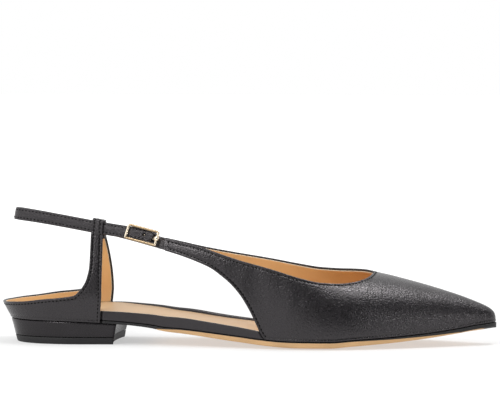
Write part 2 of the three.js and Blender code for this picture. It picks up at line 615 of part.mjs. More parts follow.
// Places from one end to just before the other, closer together towards the far end
const gathered = (from, to, count, power) =>
  Array.from({ length: count }, (_, i) => from + (to - from) * (1 - (1 - i / count) ** power));
function vampPlaces(wingEnd) {
  const wing = gathered(wingEnd, VAMP_START, WING_COLUMNS, 1.6);
  const body = gathered(VAMP_START, THROAT, BODY_COLUMNS, 1.4);
  const toeRound = SHOE_LENGTH - TOE_ROUND;
  const toe = gathered(THROAT, toeRound, TOE_COLUMNS, 1);
  const tip = Array.from({ length: TIP_COLUMNS + 1 }, (_, i) =>
    toeRound + TOE_ROUND * Math.sin((i / TIP_COLUMNS) * (Math.PI / 2)));
  return [...wing, ...body, ...toe, ...tip];
}
function vampPatch(side) {
  const wingEnd = side === OUTER ? OUTER_WING_END : INNER_WING_END;
  const grid = vampPlaces(wingEnd).map((place, i) => {
    return Array.from({ length: VAMP_ROWS + 1 }, (_, j) => {
      const t = j / VAMP_ROWS;
      const x = i === 0 ? place - WING_ROUND * (1 - (2 * t - 1) ** 2) : place;
      const at = x / SHOE_LENGTH;
      const section = vampSection(x, side);
      const top = x < THROAT ? section.angle(toplineAt[side](at) * INSTEP_HEIGHT) : Math.PI / 2;
      const bottom = x < VAMP_START ? section.angle(cutoutAt[side](at) * INSTEP_HEIGHT) : 0;
      return section.point(bottom + (top - bottom) * t);
    });
  });
  return { grid, flip: side === INNER };
}
function vamp() {
  return wall([vampPatch(OUTER), vampPatch(INNER)], UPPER_WALL);
}

// A frame in the middle of a wing, at a depth behind its outer face
function wingFrame(x, side, depth) {
  const at = x / SHOE_LENGTH;
  const middle = (place) => {
    const section = vampSection(place, side);
    const share = place / SHOE_LENGTH;
    const height = ((toplineAt[side](share) + cutoutAt[side](share)) / 2) * INSTEP_HEIGHT;
    return section.point(section.angle(height));
  };
  const section = vampSection(x, side);
  const upper = section.point(section.angle(toplineAt[side](at) * INSTEP_HEIGHT));
  const lower = section.point(section.angle(cutoutAt[side](at) * INSTEP_HEIGHT));
  const along = middle(x + 1).sub(middle(x - 1)).normalize();
  const width = upper.sub(lower).normalize();
  const away = along.clone().cross(width).multiplyScalar(-side).normalize();
  width.copy(away).cross(along).multiplyScalar(-side).normalize();
  return { place: middle(x).addScaledVector(away, -depth), along, width, away };
}
const TAB_DEPTH = UPPER_WALL + GAP + TAB_THICKNESS / 2;
const STRAP_DEPTH = UPPER_WALL + GAP + STRAP_THICKNESS / 2;

// Strap: a frame at a share of its length, z pointing away from the ankle and y up the strap
const wingEnd = {
  [OUTER]: wingFrame(OUTER_WING_END, OUTER, TAB_DEPTH).place,
  [INNER]: wingFrame(INNER_WING_END, INNER, STRAP_DEPTH).place,
};
const slingPath = new THREE.CatmullRomCurve3(
  SLING.map(({ at, reach, side, height }) => {
    const end = wingEnd[side > 0 ? INNER : OUTER];
    const span = THREE.MathUtils.lerp(ANKLE_WIDTH, 2 * Math.abs(end.y), reach);
    const level = THREE.MathUtils.lerp(SLING_HEIGHT, end.z, reach);
    return new THREE.Vector3(at * SHOE_LENGTH, side * span, height * level);
  }),
  false,
  "centripetal",
);
const slingLean = (() => {
  const places = SLING.map((row, i) => ({ at: i / (SLING.length - 1), lean: row.lean }));
  return column(places, "lean");
})();
function slingFrame(t) {
  const along = slingPath.getTangent(t);
  const out = new THREE.Vector3(0, 0, 1).cross(along).normalize();
  const up = along.clone().cross(out);
  const lean = THREE.MathUtils.degToRad(slingLean(t));
  const width = up.clone().multiplyScalar(Math.cos(lean)).addScaledVector(out, -Math.sin(lean));
  const away = out.clone().multiplyScalar(Math.cos(lean)).addScaledVector(up, Math.sin(lean));
  return { place: slingPath.getPoint(t), along, width, away };
}
// The share of the strap's path at which it passes x on one side
function slingAt(x, side) {
  const STEPS = 600;
  let best = 0;
  for (let i = 1; i <= STEPS; i++) {
    const t = i / STEPS;
    const onSide = slingPath.getPoint(t).y * side > 0;
    const nearer = Math.abs(slingPath.getPoint(t).x - x) < Math.abs(slingPath.getPoint(best).x - x);
    if (onSide && (nearer || best === 0)) best = t;
  }
  return best;
}
function slingMatrix(t) {
  const { place, along, width, away } = slingFrame(t);
  const forward = along.clone().negate();
  return new THREE.Matrix4().makeBasis(forward, width, away).setPosition(place);
}

// Quarter: the cup with a wall that flares to its rim, and the two uprights above its front
const LOOP_WALL = 1.2;
const LOOP_LENGTH = 6.6; // along the strap
const OUTER_LOOP = 0.2029 * SHOE_LENGTH; // rear of the rim to the middle of each loop
const INNER_LOOP = 0.192 * SHOE_LENGTH;
const loopSide = {
  [OUTER]: { t: slingAt(OUTER_LOOP, OUTER), lean: OUTER_UPRIGHT_LEAN },
  [INNER]: { t: slingAt(INNER_LOOP, INNER), lean: INNER_UPRIGHT_LEAN },
};
const rimAt = column(RIM, "height");
const spreadAt = column(QUARTER_SPREAD, "spread");
const uprightWidthAt = column(UPRIGHT, "width");
const cupRear = (height) => {
  const seam = underside(0);
  return CUP_FLARE * (1 - (height - seam) / (rimAt(0) * CUP_HEIGHT - seam));
};
// Where an upright's outer face ends, inside the lower wall of its loop
function uprightTop(side) {
  const { place, width, away } = slingFrame(loopSide[side].t);
  const down = STRAP_WIDTH / 2 + GAP + LOOP_WALL / 2;
  const out = STRAP_THICKNESS / 2 + GAP + LOOP_WALL;
  return place.clone().addScaledVector(width, -down).addScaledVector(away, out);
}
function cupFront(height, side) {
  const seam = underside(CUP_LENGTH);
  const below = Math.max(0, (CUP_HEIGHT - height) / (CUP_HEIGHT - seam));
  return CUP_LENGTH - (side === INNER ? INNER_SETBACK : 0) - FRONT_RAKE * below;
}
function quarterPoint(x, height, up, side) {
  const rear = cupRear(height);
  const c = (x - rear) / (cupFront(height, side) - rear);
  const seam = SEAM_REAR + (CUP_LENGTH - SEAM_REAR) * c;
  return new THREE.Vector3(x, side * halfWidth(seam, side) * spreadAt(up), height);
}
const CUP_ROWS = 5;
const CUP_COLUMNS = 12;
const SHOULDER_COLUMNS = 6;
const UPRIGHT_ROWS = 11;
function quarterPatches(side) {
  const rimFront = cupFront(CUP_HEIGHT, side);
  const start = 1 - SHOULDER_WIDTH / (rimFront - cupRear(CUP_HEIGHT));
  const round = Array.from({ length: CUP_COLUMNS }, (_, i) =>
    start * (1 - Math.cos((i / CUP_COLUMNS) * (Math.PI / 2)) ** 0.9));
  const front = Array.from({ length: SHOULDER_COLUMNS + 1 }, (_, i) =>
    start + ((1 - start) * i) / SHOULDER_COLUMNS);
  const placeAt = (c, height) => cupRear(height) + (cupFront(height, side) - cupRear(height)) * c;
  const cup = [...round, ...front].map((c) => {
    const low = underside(SEAM_REAR + (CUP_LENGTH - SEAM_REAR) * c);
    const high = c < start ? rimAt(placeAt(c, CUP_HEIGHT) / SHOE_LENGTH) * CUP_HEIGHT : CUP_HEIGHT;
    return Array.from({ length: CUP_ROWS + 1 }, (_, j) => {
      const height = low + ((high - low) * j) / CUP_ROWS;
      return quarterPoint(placeAt(c, height), height, height / CUP_HEIGHT, side);
    });
  });
  const top = uprightTop(side);
  const reach = Math.abs(top.y) / Math.abs(quarterPoint(top.x, top.z, 2, side).y);
  const upright = front.map((c) => {
    const share = (1 - c) / (1 - start);
    return Array.from({ length: UPRIGHT_ROWS + 1 }, (_, j) => {
      const t = (j / UPRIGHT_ROWS) ** 2 * 0.6 + (j / UPRIGHT_ROWS) * 0.4;
      const height = CUP_HEIGHT + (top.z - CUP_HEIGHT) * t;
      const edge = rimFront + loopSide[side].lean * t ** 2;
      const x = edge - SHOULDER_WIDTH * uprightWidthAt(t) * share;
      const point = quarterPoint(x, height, 1 + t, side);
      point.y *= 1 + (reach - 1) * t ** 2;
      return point;
    });
  });
  return [cup, upright].map((grid) => ({ grid, flip: side === INNER }));
}
function roundedRectangle(width, height, radius, Kind = THREE.Shape) {
  const shape = new Kind();
  const x = width / 2;
  const y = height / 2;
  shape.moveTo(-x + radius, -y);
  shape.lineTo(x - radius, -y);
  shape.absarc(x - radius, -y + radius, radius, -Math.PI / 2, 0, false);
  shape.lineTo(x, y - radius);
  shape.absarc(x - radius, y - radius, radius, 0, Math.PI / 2, false);
  shape.lineTo(-x + radius, y);
  shape.absarc(-x + radius, y - radius, radius, Math.PI / 2, Math.PI, false);
  shape.lineTo(-x, -y + radius);
  shape.absarc(-x + radius, -y + radius, radius, Math.PI, Math.PI * 1.5, false);
  return shape;
}
function loop(side) {
  const slotWidth = STRAP_WIDTH + 2 * GAP;
  const slotDepth = STRAP_THICKNESS + 2 * GAP;
  const shape = roundedRectangle(slotWidth + 2 * LOOP_WALL, slotDepth + 2 * LOOP_WALL, LOOP_WALL);
  shape.holes.push(roundedRectangle(slotWidth, slotDepth, GAP, THREE.Path));
  const body = new THREE.ExtrudeGeometry(shape, { depth: LOOP_LENGTH, bevelEnabled: false, curveSegments: 3 });
  body.translate(0, 0, -LOOP_LENGTH / 2);
  const { place, along, width, away } = slingFrame(loopSide[side].t);
  const matrix = new THREE.Matrix4().makeBasis(width, away, along.clone().negate()).setPosition(place);
  return solid(body, matrix);
}
function heelQuarter() {
  const shell = wall([OUTER, INNER].flatMap(quarterPatches), UPPER_WALL);
  return geometryOf(solid(shell).add(loop(OUTER)).add(loop(INNER)));
}

// A strip of leather: rings of a flat section with softened edges along frames
function strip(frames, thickness) {
  const shell = new Shell();
  const EDGE = thickness * 0.3;
  const rings = frames.map(({ place, width, away, half }) => {
    const thin = thickness / 2;
    const soft = Math.min(EDGE, half * 0.6);
    const corners = [
      [-half + soft, -thin], [half - soft, -thin], [half, -thin + soft], [half, thin - soft],
      [half - soft, thin], [-half + soft, thin], [-half, thin - soft], [-half, -thin + soft],
    ];
    return corners.map(([w, a]) => place.clone().addScaledVector(width, w).addScaledVector(away, a));
  });
  const sides = rings[0].length;
  for (let i = 0; i + 1 < rings.length; i++) {
    for (let k = 0; k < sides; k++) {
      const next = (k + 1) % sides;
      shell.quad(rings[i][k], rings[i + 1][k], rings[i + 1][next], rings[i][next]);
    }
  }
  const last = rings.length - 1;
  for (let k = 1; k + 1 < sides; k++) {
    shell.face(rings[0][0], rings[0][k], rings[0][k + 1]);
    shell.face(rings[last][0], rings[last][k + 1], rings[last][k]);
  }
  return shell.geometry();
}

// Strap, with a rounded tip in the buckle and the hole for the prong
const BUCKLE_PLACE = OUTER_WING_END - BUCKLE_SETBACK;
const BUCKLE_DROP = 0.6; // how much lower than the strap's middle the buckle sits
const BUCKLE_TURN = 5.5; // degrees by which the buckle dips more than the strap, in line with the wing
const PRONG_REACH = 0.9; // from the middle of the buckle forward to the hole
const HOLE_RADIUS = 0.9;
const STRAP_STEPS = 56;
const TIP_STEPS = 5;
const strapMatrix = slingMatrix(slingAt(BUCKLE_PLACE, OUTER));
const buckleMatrix = strapMatrix.clone()
  .multiply(new THREE.Matrix4().makeTranslation(0, -BUCKLE_DROP, 0))
  .multiply(new THREE.Matrix4().makeRotationZ(-THREE.MathUtils.degToRad(BUCKLE_TURN)));
function slingStrap() {
  const length = slingPath.getLength();
  const tip = STRAP_WIDTH / 2;
  const tipShare = tip / length;
  const places = Array.from({ length: TIP_STEPS }, (_, i) => {
    const angle = ((i + 0.35) / (TIP_STEPS + 0.35)) * (Math.PI / 2);
    return { share: tipShare * (1 - Math.cos(angle)), half: tip * Math.sin(angle) };
  });
  for (let i = 0; i <= STRAP_STEPS; i++) {
    places.push({ share: tipShare + ((1 - tipShare) * i) / STRAP_STEPS, half: tip });
  }
  const frames = places.map(({ share, half }) => ({ ...slingFrame(slingPath.getUtoTmapping(share)), half }));
  const hole = new THREE.CylinderGeometry(HOLE_RADIUS, HOLE_RADIUS, STRAP_THICKNESS * 3, 12);
  hole.rotateX(Math.PI / 2).translate(PRONG_REACH, 0, 0);
  return geometryOf(solid(strip(frames, STRAP_THICKNESS)).subtract(solid(hole, strapMatrix)));
}

// Buckle tab: a strip behind the end of the outer wing, its free end behind the buckle's front bar
const TAB_STEPS = 8;
const tabStart = wingFrame(OUTER_WING_END - TAB_REACH, OUTER, TAB_DEPTH);
function buckleTab() {
  const frames = [];
  for (let i = TAB_STEPS; i > 0; i--) {
    const place = OUTER_WING_END - TAB_REACH + ((TAB_REACH + TAB_COVER) * i) / TAB_STEPS;
    frames.push({ ...wingFrame(place, OUTER, TAB_DEPTH), half: TAB_WIDTH / 2 });
  }
  return strip([...frames, { ...tabStart, half: TAB_WIDTH / 2 }], TAB_THICKNESS);
}

const BUCKLE_LENGTH = 18.5;
const BUCKLE_WIDTH = 8.6;
const BUCKLE_WIRE = 1.1;
const wireHeight = STRAP_THICKNESS / 2 + GAP; // the strap's middle to the underside of the buckle's wire
function buckleFrame() {
  const EDGE = BUCKLE_WIRE * 0.22;
  const shape = roundedRectangle(BUCKLE_LENGTH - 2 * EDGE, BUCKLE_WIDTH - 2 * EDGE, BUCKLE_WIRE * 0.6);
  const inside = [BUCKLE_LENGTH, BUCKLE_WIDTH].map((size) => size - 2 * (BUCKLE_WIRE - EDGE));
  shape.holes.push(roundedRectangle(inside[0], inside[1], BUCKLE_WIRE * 0.35, THREE.Path));
  return new THREE.ExtrudeGeometry(shape, {
    depth: BUCKLE_WIRE - 2 * EDGE,
    bevelThickness: EDGE,
    bevelSize: EDGE,
    bevelSegments: 1,
    curveSegments: 4,
  }).translate(0, 0, wireHeight + EDGE);
}

// Prong: an eye round the front bar and a pin that runs back under the strap into its hole
const EYE_RADIUS = 1.45;
const EYE_SETBACK = 0.3; // from the middle of the bar back to the middle of the eye
const BAR_CLEARANCE = 0.15;
const PIN_RADIUS = 0.4;
function buckleProng() {
  const bar = (BUCKLE_LENGTH - BUCKLE_WIRE) / 2;
  const eyeHeight = wireHeight + BUCKLE_WIRE / 2;
  const under = -STRAP_THICKNESS / 2 - GAP - PIN_RADIUS;
  const eye = new THREE.SphereGeometry(EYE_RADIUS, 12, 8).translate(bar - EYE_SETBACK, 0, eyeHeight);
  const bore = BUCKLE_WIRE * Math.SQRT1_2 + BAR_CLEARANCE;
  const cut = new THREE.CylinderGeometry(bore, bore, EYE_RADIUS * 3, 12).translate(bar, 0, eyeHeight);
  const passage = (forwardOfBuckle(slingPath.getPoint(0)) + forwardOfBuckle(tabStart.place)) / 2;
  // The pin ends in the hole, which lies on the strap's middle
  const point = (x, z, share = 0) => new THREE.Vector3(x, share * BUCKLE_DROP, z);
  const route = new THREE.CatmullRomCurve3([
    point(bar - bore - PIN_RADIUS, eyeHeight - EYE_RADIUS / 2),
    point(passage, 0),
    point(passage, under + 2 * PIN_RADIUS),
    point(passage - PIN_RADIUS, under),
    point(passage - 4 * PIN_RADIUS, under),
    point(PRONG_REACH + 4 * PIN_RADIUS, under, 1),
    point(PRONG_REACH + PIN_RADIUS, under + PIN_RADIUS / 2, 1),
    point(PRONG_REACH, 0, 1),
    point(PRONG_REACH, STRAP_THICKNESS / 2 - PIN_RADIUS, 1),
  ]);
  const section = new THREE.Shape().absarc(0, 0, PIN_RADIUS, 0, Math.PI * 2);
  const pin = new THREE.ExtrudeGeometry(section, { steps: 22, curveSegments: 3, extrudePath: route });
  return geometryOf(solid(eye).subtract(solid(cut)).add(solid(pin)));
}
// How far forward of the buckle's middle a point lies
const forwardOfBuckle = (point) => point.clone().applyMatrix4(buckleMatrix.clone().invert()).x;

const FINISHES = {
  blackLeather: { color: 0x1b1b1d, roughness: 0.42, metalness: 0 },
  tanLeather: { color: 0xd9a56b, roughness: 0.6, metalness: 0 },
  soleLeather: { color: 0xcf9f68, roughness: 0.7, metalness: 0 },
  blackRubber: { color: 0x161616, roughness: 0.75, metalness: 0 },
  gold: { color: 0xd9b46a, roughness: 0.25, metalness: 1 },
};
function piece(name, geometry, finish) {
  const made = new THREE.Mesh(geometry, new THREE.MeshStandardMaterial(FINISHES[finish]));
  made.name = name;
  return made;
}

const shoe = new THREE.Group();
const liftRear = SEAM_REAR + HEEL_PITCH;
const liftFront = HEEL_BREAST - BREAST_LEAN;
shoe.position.x = -(liftRear + liftFront) / 2;
shoe.add(
  piece("outsole", outsole(), "soleLeather"),
  piece("heel", heelBlock(), "blackLeather"),
  piece("top_lift", topLift(), "blackRubber"),
  piece("insole_board", insoleBoard(), "blackLeather"),
  piece("sock_lining", sockLining(), "tanLeather"),
  piece("vamp", vamp(), "blackLeather"),
  piece("heel_quarter", heelQuarter(), "blackLeather"),
  piece("sling_strap", slingStrap(), "blackLeather"),
  piece("buckle_tab", buckleTab(), "blackLeather"),
);
const buckle = new THREE.Group();
buckle.applyMatrix4(buckleMatrix);
buckle.add(piece("buckle_frame", buckleFrame(), "gold"), piece("buckle_prong", buckleProng(), "gold"));
shoe.add(buckle);

export default shoe;
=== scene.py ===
import bisect
import math

import bpy
import numpy as np
from bpy.props import FloatProperty, FloatVectorProperty, PointerProperty
from mathutils import Matrix, Vector, noise
from mathutils.bvhtree import BVHTree
from mathutils.kdtree import KDTree


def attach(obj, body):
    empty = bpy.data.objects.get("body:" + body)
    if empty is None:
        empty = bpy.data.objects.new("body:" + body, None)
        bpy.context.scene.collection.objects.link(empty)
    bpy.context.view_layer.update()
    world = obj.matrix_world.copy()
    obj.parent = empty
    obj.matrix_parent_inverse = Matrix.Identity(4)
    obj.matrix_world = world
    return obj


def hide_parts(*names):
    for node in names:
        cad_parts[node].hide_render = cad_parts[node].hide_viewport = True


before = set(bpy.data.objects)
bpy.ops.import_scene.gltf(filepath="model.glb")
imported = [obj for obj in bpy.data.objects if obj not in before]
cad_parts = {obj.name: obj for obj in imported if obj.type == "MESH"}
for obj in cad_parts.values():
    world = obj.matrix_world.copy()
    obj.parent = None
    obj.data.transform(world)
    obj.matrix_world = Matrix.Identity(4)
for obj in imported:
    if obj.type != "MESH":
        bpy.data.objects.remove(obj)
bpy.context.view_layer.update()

bl_info = {
    "name": "Slingback shoe",
    "version": (1, 0, 0),
    "blender": (4, 5, 0),
    "location": "View3D > Sidebar > Shoe",
    "description": "Leather, stitches, sole and buckle of a pointed slingback shoe",
    "category": "Object",
}

# Sizes of the solids, in millimetres. Places along the shoe are measured from the rear of the cup's rim.
MM = 0.001
SHOE_LENGTH = 272
BALL_WIDTH = 76
INSTEP_HEIGHT = 39
SEAT_HEIGHT = 12.7
TOE_SPRING = 9.4
CUP_HEIGHT = 26.3
SLING_HEIGHT = 70.2
ANKLE_WIDTH = 28
WALL = 1.8
OUTSOLE_THICKNESS = 3.9
BOARD_THICKNESS = 6.3
SOCK_THICKNESS = 0.6
LIFT_THICKNESS = 3.8
STRAP_WIDTH = 6.8
STRAP_THICKNESS = 1.8
GAP = 0.3
CUP_FLARE = 4.7
HEEL_PITCH = 3.7
HEEL_LENGTH = 0.228 * SHOE_LENGTH
BREAST_LEAN = 2
BREAST_HOLLOW = 2
SIDE_LEAN = 1.3
CUP_LENGTH = 0.2169 * SHOE_LENGTH
INNER_SETBACK = 1
FRONT_RAKE = 1.2
OUTER_WING_END = 0.3452 * SHOE_LENGTH
INNER_WING_END = 0.3217 * SHOE_LENGTH
HEEL_ROUND = 0.1324 * SHOE_LENGTH
TOE_ROUND = 0.022 * SHOE_LENGTH
SOLE_MARGIN = 0.2
EDGE_BEVEL = 1.3
ARCH_RISE = 1.4
SHOULDER_WIDTH = 18
LOOP_WALL = 1.2
LOOP_ROUND, LOOP_TAIL = 1.6, 0.6
WING_ROUND = 1.2
OUTER, INNER = -1, 1

# Sizes of what only this model shows, in millimetres
STITCH_EDGE = 1.6  # from an edge of the upper to its stitches
STRAP_STITCH_EDGE = 1.3
LINING_GAP = 0.06
SEWN_RUN, SEWN_EASE, SEWN_PRESS = 14, 6, 0.25  # how the strap's inner end is pressed on to the wing
TAB_FOLD = 6  # how far the tab runs behind the strap's tip
EDGE_ROUND = 0.3  # of the sole's upper edge
LIFT_GAP = 0.1
BREAST_MARK = 1.6  # length of the heel that carries the mark of its breast
CUP_SHORT = 1.1  # how much sooner the cup ends on the inner side
CUP_FILL, CUP_FILL_REAR, CUP_FILL_RUN, CUP_FILL_POWER = 1.6, 1.1, 22, 1.3  # the board reaches the leaning cup
SOCK_EDGE = {OUTER: 1.1, INNER: 2.4}
SOCK_LEVEL = 0.1
INSOLE_DISH = 0.4
BUCKLE_CORNER, WIRE_SQUARENESS = 0.8, 3.5


def curve(at, values):
    """A smooth curve through one column of a table, with no overshoot between the rows."""
    steps = [b - a for a, b in zip(at, at[1:])]
    rates = [(b - a) / step for a, b, step in zip(values, values[1:], steps)]
    slopes = [rates[0]]
    for i in range(1, len(at) - 1):
        before, after = 2 * steps[i] + steps[i - 1], steps[i] + 2 * steps[i - 1]
        turning = rates[i - 1] * rates[i] <= 0
        slopes.append(0 if turning else (before + after) / (before / rates[i - 1] + after / rates[i]))
    slopes.append(rates[-1])

    def value(place):
        place = min(max(place, at[0]), at[-1])
        i = min(max(bisect.bisect_left(at, place) - 1, 0), len(at) - 2)
        t = (place - at[i]) / steps[i]
        rise, enter, leave = rates[i] * steps[i], slopes[i] * steps[i], slopes[i + 1] * steps[i]
        square, cube = 3 * rise - 2 * enter - leave, enter + leave - 2 * rise
        return values[i] + enter * t + square * t * t + cube * t**3

    return value


def table(names, *rows):
    """Curves through the named columns of a table whose first column is the place."""
    at, *values = zip(*rows)
    return {name: curve(at, column) for name, column in zip(names.split()[1:], values)}


# Places and sizes are shares, as in the part's source.
SOLE = table(
    "at axis outer inner rise spring sole board bevel arch",
    (0.0, 0, 0.324, 0.324, 1.03, 0, 0.32, 0.65, 0, 0),
    (0.15, 0, 0.324, 0.324, 0.985, 0, 0.32, 0.72, 0, 0),
    (0.2, 0, 0.311, 0.309, 0.94, 0, 0.33, 0.79, 0, 0.6),
    (0.24, 0, 0.297, 0.292, 0.89, 0, 0.36, 0.825, 0.05, 0.95),
    (0.28, 0, 0.295, 0.279, 0.795, 0, 0.45, 0.858, 0.3, 0.95),
    (0.32, 0, 0.304, 0.271, 0.67, 0, 0.57, 0.91, 0.5, 0.85),
    (0.34, 0, 0.314, 0.271, 0.565, 0, 0.68, 0.95, 0.6, 0.75),
    (0.38, 0, 0.337, 0.279, 0.47, 0, 0.83, 0.945, 0.8, 0.4),
    (0.42, 0, 0.366, 0.297, 0.37, 0, 0.91, 0.885, 0.9, 0),
    (0.46, 0, 0.395, 0.326, 0.26, 0, 0.98, 0.835, 1, -0.35),
    (0.5, 0.001, 0.422, 0.36, 0.165, 0, 1, 0.77, 1, -0.45),
    (0.54, 0.003, 0.457, 0.395, 0.075, 0, 1, 0.67, 1, -0.3),
    (0.58, 0.006, 0.486, 0.429, 0.015, 0, 1, 0.56, 1, 0),
    (0.61, 0.008, 0.501, 0.454, 0, 0, 1, 0.49, 1, 0),
    (0.65, 0.012, 0.507, 0.478, 0, 0, 1, 0.44, 1, 0),
    (0.68, 0.016, 0.499, 0.484, 0, 0, 1, 0.43, 1, 0),
    (0.72, 0.02, 0.473, 0.468, 0, 0.085, 1, 0.42, 1, 0),
    (0.76, 0.024, 0.431, 0.421, 0, 0.16, 0.99, 0.41, 1, 0),
    (0.8, 0.028, 0.378, 0.362, 0, 0.24, 0.96, 0.4, 1, 0),
    (0.84, 0.031, 0.316, 0.298, 0, 0.345, 0.92, 0.4, 1, 0),
    (0.88, 0.034, 0.249, 0.233, 0, 0.465, 0.88, 0.4, 1, 0),
    (0.92, 0.037, 0.179, 0.168, 0, 0.625, 0.84, 0.38, 1, 0),
    (0.96, 0.039, 0.112, 0.107, 0, 0.83, 0.79, 0.38, 1, 0),
    (1.0, 0.04, 0.062, 0.062, 0, 1, 0.75, 0.38, 1, 0),
)
LAST = table(
    "at outer inner ridge shift full",
    (0.3, 0.092, 0.118, 1.94, 0, 2.3),
    (0.38, 0.094, 0.13, 1.98, 0, 2.3),
    (0.42, 0.083, 0.127, 2, 0, 2.3),
    (0.46, 0.062, 0.112, 2.02, 0, 2.3),
    (0.5, 0.042, 0.083, 2.02, 0, 2.3),
    (0.54, 0.02, 0.048, 1.93, 0.002, 2.3),
    (0.58, 0.017, 0.029, 1.65, 0.005, 2.3),
    (0.62, 0.017, 0.021, 1.4, 0.01, 2.3),
    (0.66, 0.017, 0.018, 1.21, 0.017, 2.3),
    (0.7, 0.017, 0.017, 1.095, 0.024, 2.3),
    (0.74, 0.015, 0.015, 1.029, 0.0275, 2.29),
    (0.7544, 0.0146, 0.0146, 1.0055, 0.028, 2.282),
    (0.76, 0.0144, 0.0144, 0.9965, 0.028, 2.28),
    (0.8, 0.013, 0.013, 0.936, 0.024, 2.24),
    (0.84, 0.011, 0.011, 0.865, 0.018, 2.2),
    (0.88, 0.009, 0.009, 0.788, 0.012, 2.15),
    (0.92, 0.007, 0.007, 0.704, 0.007, 2.1),
    (0.95, 0.005, 0.005, 0.629, 0.004, 2.1),
    (0.975, 0.003, 0.003, 0.556, 0.002, 2.1),
    (0.99, 0.001, 0.001, 0.498, 0, 2.1),
    (0.997, 0, 0, 0.442, 0, 2.1),
    (1.0, 0, 0, 0.364, 0, 2.1),
)
THROAT = 0.7544 * SHOE_LENGTH
VAMP_START = 0.549 * SHOE_LENGTH
# The vamp's edges in shares of the instep's height: along the top, and round the cut-out at its foot
TOPLINE = {
    OUTER: table(
        "at height",
        (0.31, 1.561), (0.33, 1.53), (0.37, 1.468), (0.42, 1.39), (0.46, 1.3), (0.5, 1.213), (0.56, 1.103),
        (0.62, 0.976), (0.66, 0.915), (0.695, 0.898), (0.72, 0.912), (0.74, 0.944), (0.75, 0.976),
        (0.7544, 1.0055),
    )["height"],
    INNER: table(
        "at height",
        (0.3, 1.462), (0.32, 1.43), (0.36, 1.365), (0.4, 1.3), (0.46, 1.22), (0.54, 1.129), (0.6, 1.056),
        (0.64, 1.019), (0.68, 1.012), (0.71, 1.02), (0.735, 1.022), (0.748, 1.0125), (0.7544, 1.0055),
    )["height"],
}
CUTOUT = {
    OUTER: table(
        "at height",
        (0.31, 1.397), (0.33, 1.36), (0.376, 1.274), (0.415, 1.18), (0.44, 1.103), (0.46, 1.007), (0.48, 0.892),
        (0.5, 0.734), (0.51, 0.63), (0.52, 0.505), (0.53, 0.36), (0.5375, 0.246), (0.544, 0.172), (0.549, 0.12),
    )["height"],
    INNER: table(
        "at height",
        (0.3, 1.282), (0.32, 1.25), (0.37, 1.17), (0.41, 1.1), (0.44, 1.035), (0.46, 0.96), (0.48, 0.86),
        (0.5, 0.715), (0.51, 0.617), (0.52, 0.498), (0.53, 0.36), (0.5375, 0.246), (0.544, 0.172), (0.549, 0.12),
    )["height"],
}
RIM = table("at height", (0, 0.83), (0.02, 0.85), (0.05, 0.876), (0.1, 0.943), (0.13, 0.973), (0.15, 1))["height"]
SPREAD = table("at spread", (0.45, 1), (1, 1.1), (1.3, 1.05), (1.6, 0.95), (1.88, 0.845), (2, 0.8))["spread"]
UPRIGHT = table(
    "at width",
    (0, 1), (0.007, 0.92), (0.016, 0.855), (0.03, 0.8), (0.06, 0.74), (0.15, 0.59), (0.29, 0.462),
    (0.5, 0.389), (1, 0.374),
)["width"]
# How far the sock lies below the board's inner edge, and how much of the sole's edge, from its top down, is
# coloured black
SOCK_DROP = table(
    "at drop",
    (0, 0), (0.2, 0.1), (0.26, 0.6), (0.33, 1.2), (0.39, 1.7), (0.46, 1.5), (0.6, 0.9), (1, 0.5),
)["drop"]
DARK_EDGE_SHARE = table(
    "at share",
    (0, 2), (0.3, 2), (0.34, 0.5), (0.38, 0.22), (0.6, 0.1), (0.7, 0.15), (0.8, 0.4), (0.9, 0.8),
    (0.97, 1.5), (1, 2),
)["share"]
UPRIGHT_LEAN = {OUTER: -0.3, INNER: -3.4}
LOOP_LEAN = 0.12
TIP_SETBACK = 7
# The strap from its tip in the buckle round the ankle to the inner wing: at, reach, side, height, lean.
# reach goes from 0 round the ankle to 1 behind the wings; side and height follow the ankle or the wings.
SLING = (
    ((OUTER_WING_END - TIP_SETBACK) / SHOE_LENGTH, 1, -0.471, 1.088, 19), (0.3, 0.9, -0.466, 1.072, 18),
    (0.275, 0.75, -0.472, 1.044, 17), (0.23, 0.5, -0.448, 1.003, 15), (0.1875, 0.25, -0.436, 0.969, 13),
    (0.125, 0.05, -0.393, 0.965, 12), (0.075, 0, -0.33, 0.983, 11), (0.045, 0, -0.25, 0.996, 11),
    (0.032, 0, -0.145, 1, 11), (0.0283, 0, 0, 0.999, 11), (0.032, 0, 0.145, 0.994, 11), (0.045, 0, 0.25, 0.983, 11),
    (0.075, 0, 0.33, 0.961, 11), (0.116, 0.05, 0.389, 0.942, 12), (0.176, 0.25, 0.438, 0.948, 13),
    (0.216, 0.5, 0.448, 0.989, 15), (0.26, 0.8, 0.458, 1.033, 17), (0.3, 1, 0.469, 1.047, 19),
    (0.348, 1, 0.511, 0.974, 20),
)
LOOP_AT = {OUTER: 0.2029 * SHOE_LENGTH, INNER: 0.192 * SHOE_LENGTH}
TAB_WIDTH, TAB_THICKNESS = 5.2, 1.2
TAB_START, TAB_END = OUTER_WING_END - 5.5, OUTER_WING_END + 8
TAB_BEHIND = 2.7
TAB_DEPTH = WALL + GAP + TAB_THICKNESS / 2
STRAP_DEPTH = WALL + GAP + STRAP_THICKNESS / 2
BUCKLE_AT = OUTER_WING_END - 12.8
BUCKLE_LENGTH, BUCKLE_WIDTH, BUCKLE_WIRE = 18.5, 8.6, 1.1
BUCKLE_DROP = 0.6
BUCKLE_TURN = math.radians(5.5)
PRONG_REACH, PIN_RADIUS, HOLE_RADIUS = 0.9, 0.4, 0.9
EYE_RADIUS, EYE_SETBACK = 1.45, 0.3
FOOT_RUN = 3.1

SEAM_REAR = CUP_FLARE
HEEL_BREAST = SEAM_REAR + HEEL_LENGTH
ORIGIN = np.array([(SEAM_REAR + HEEL_PITCH + HEEL_BREAST - BREAST_LEAN) / 2, 0, 0])


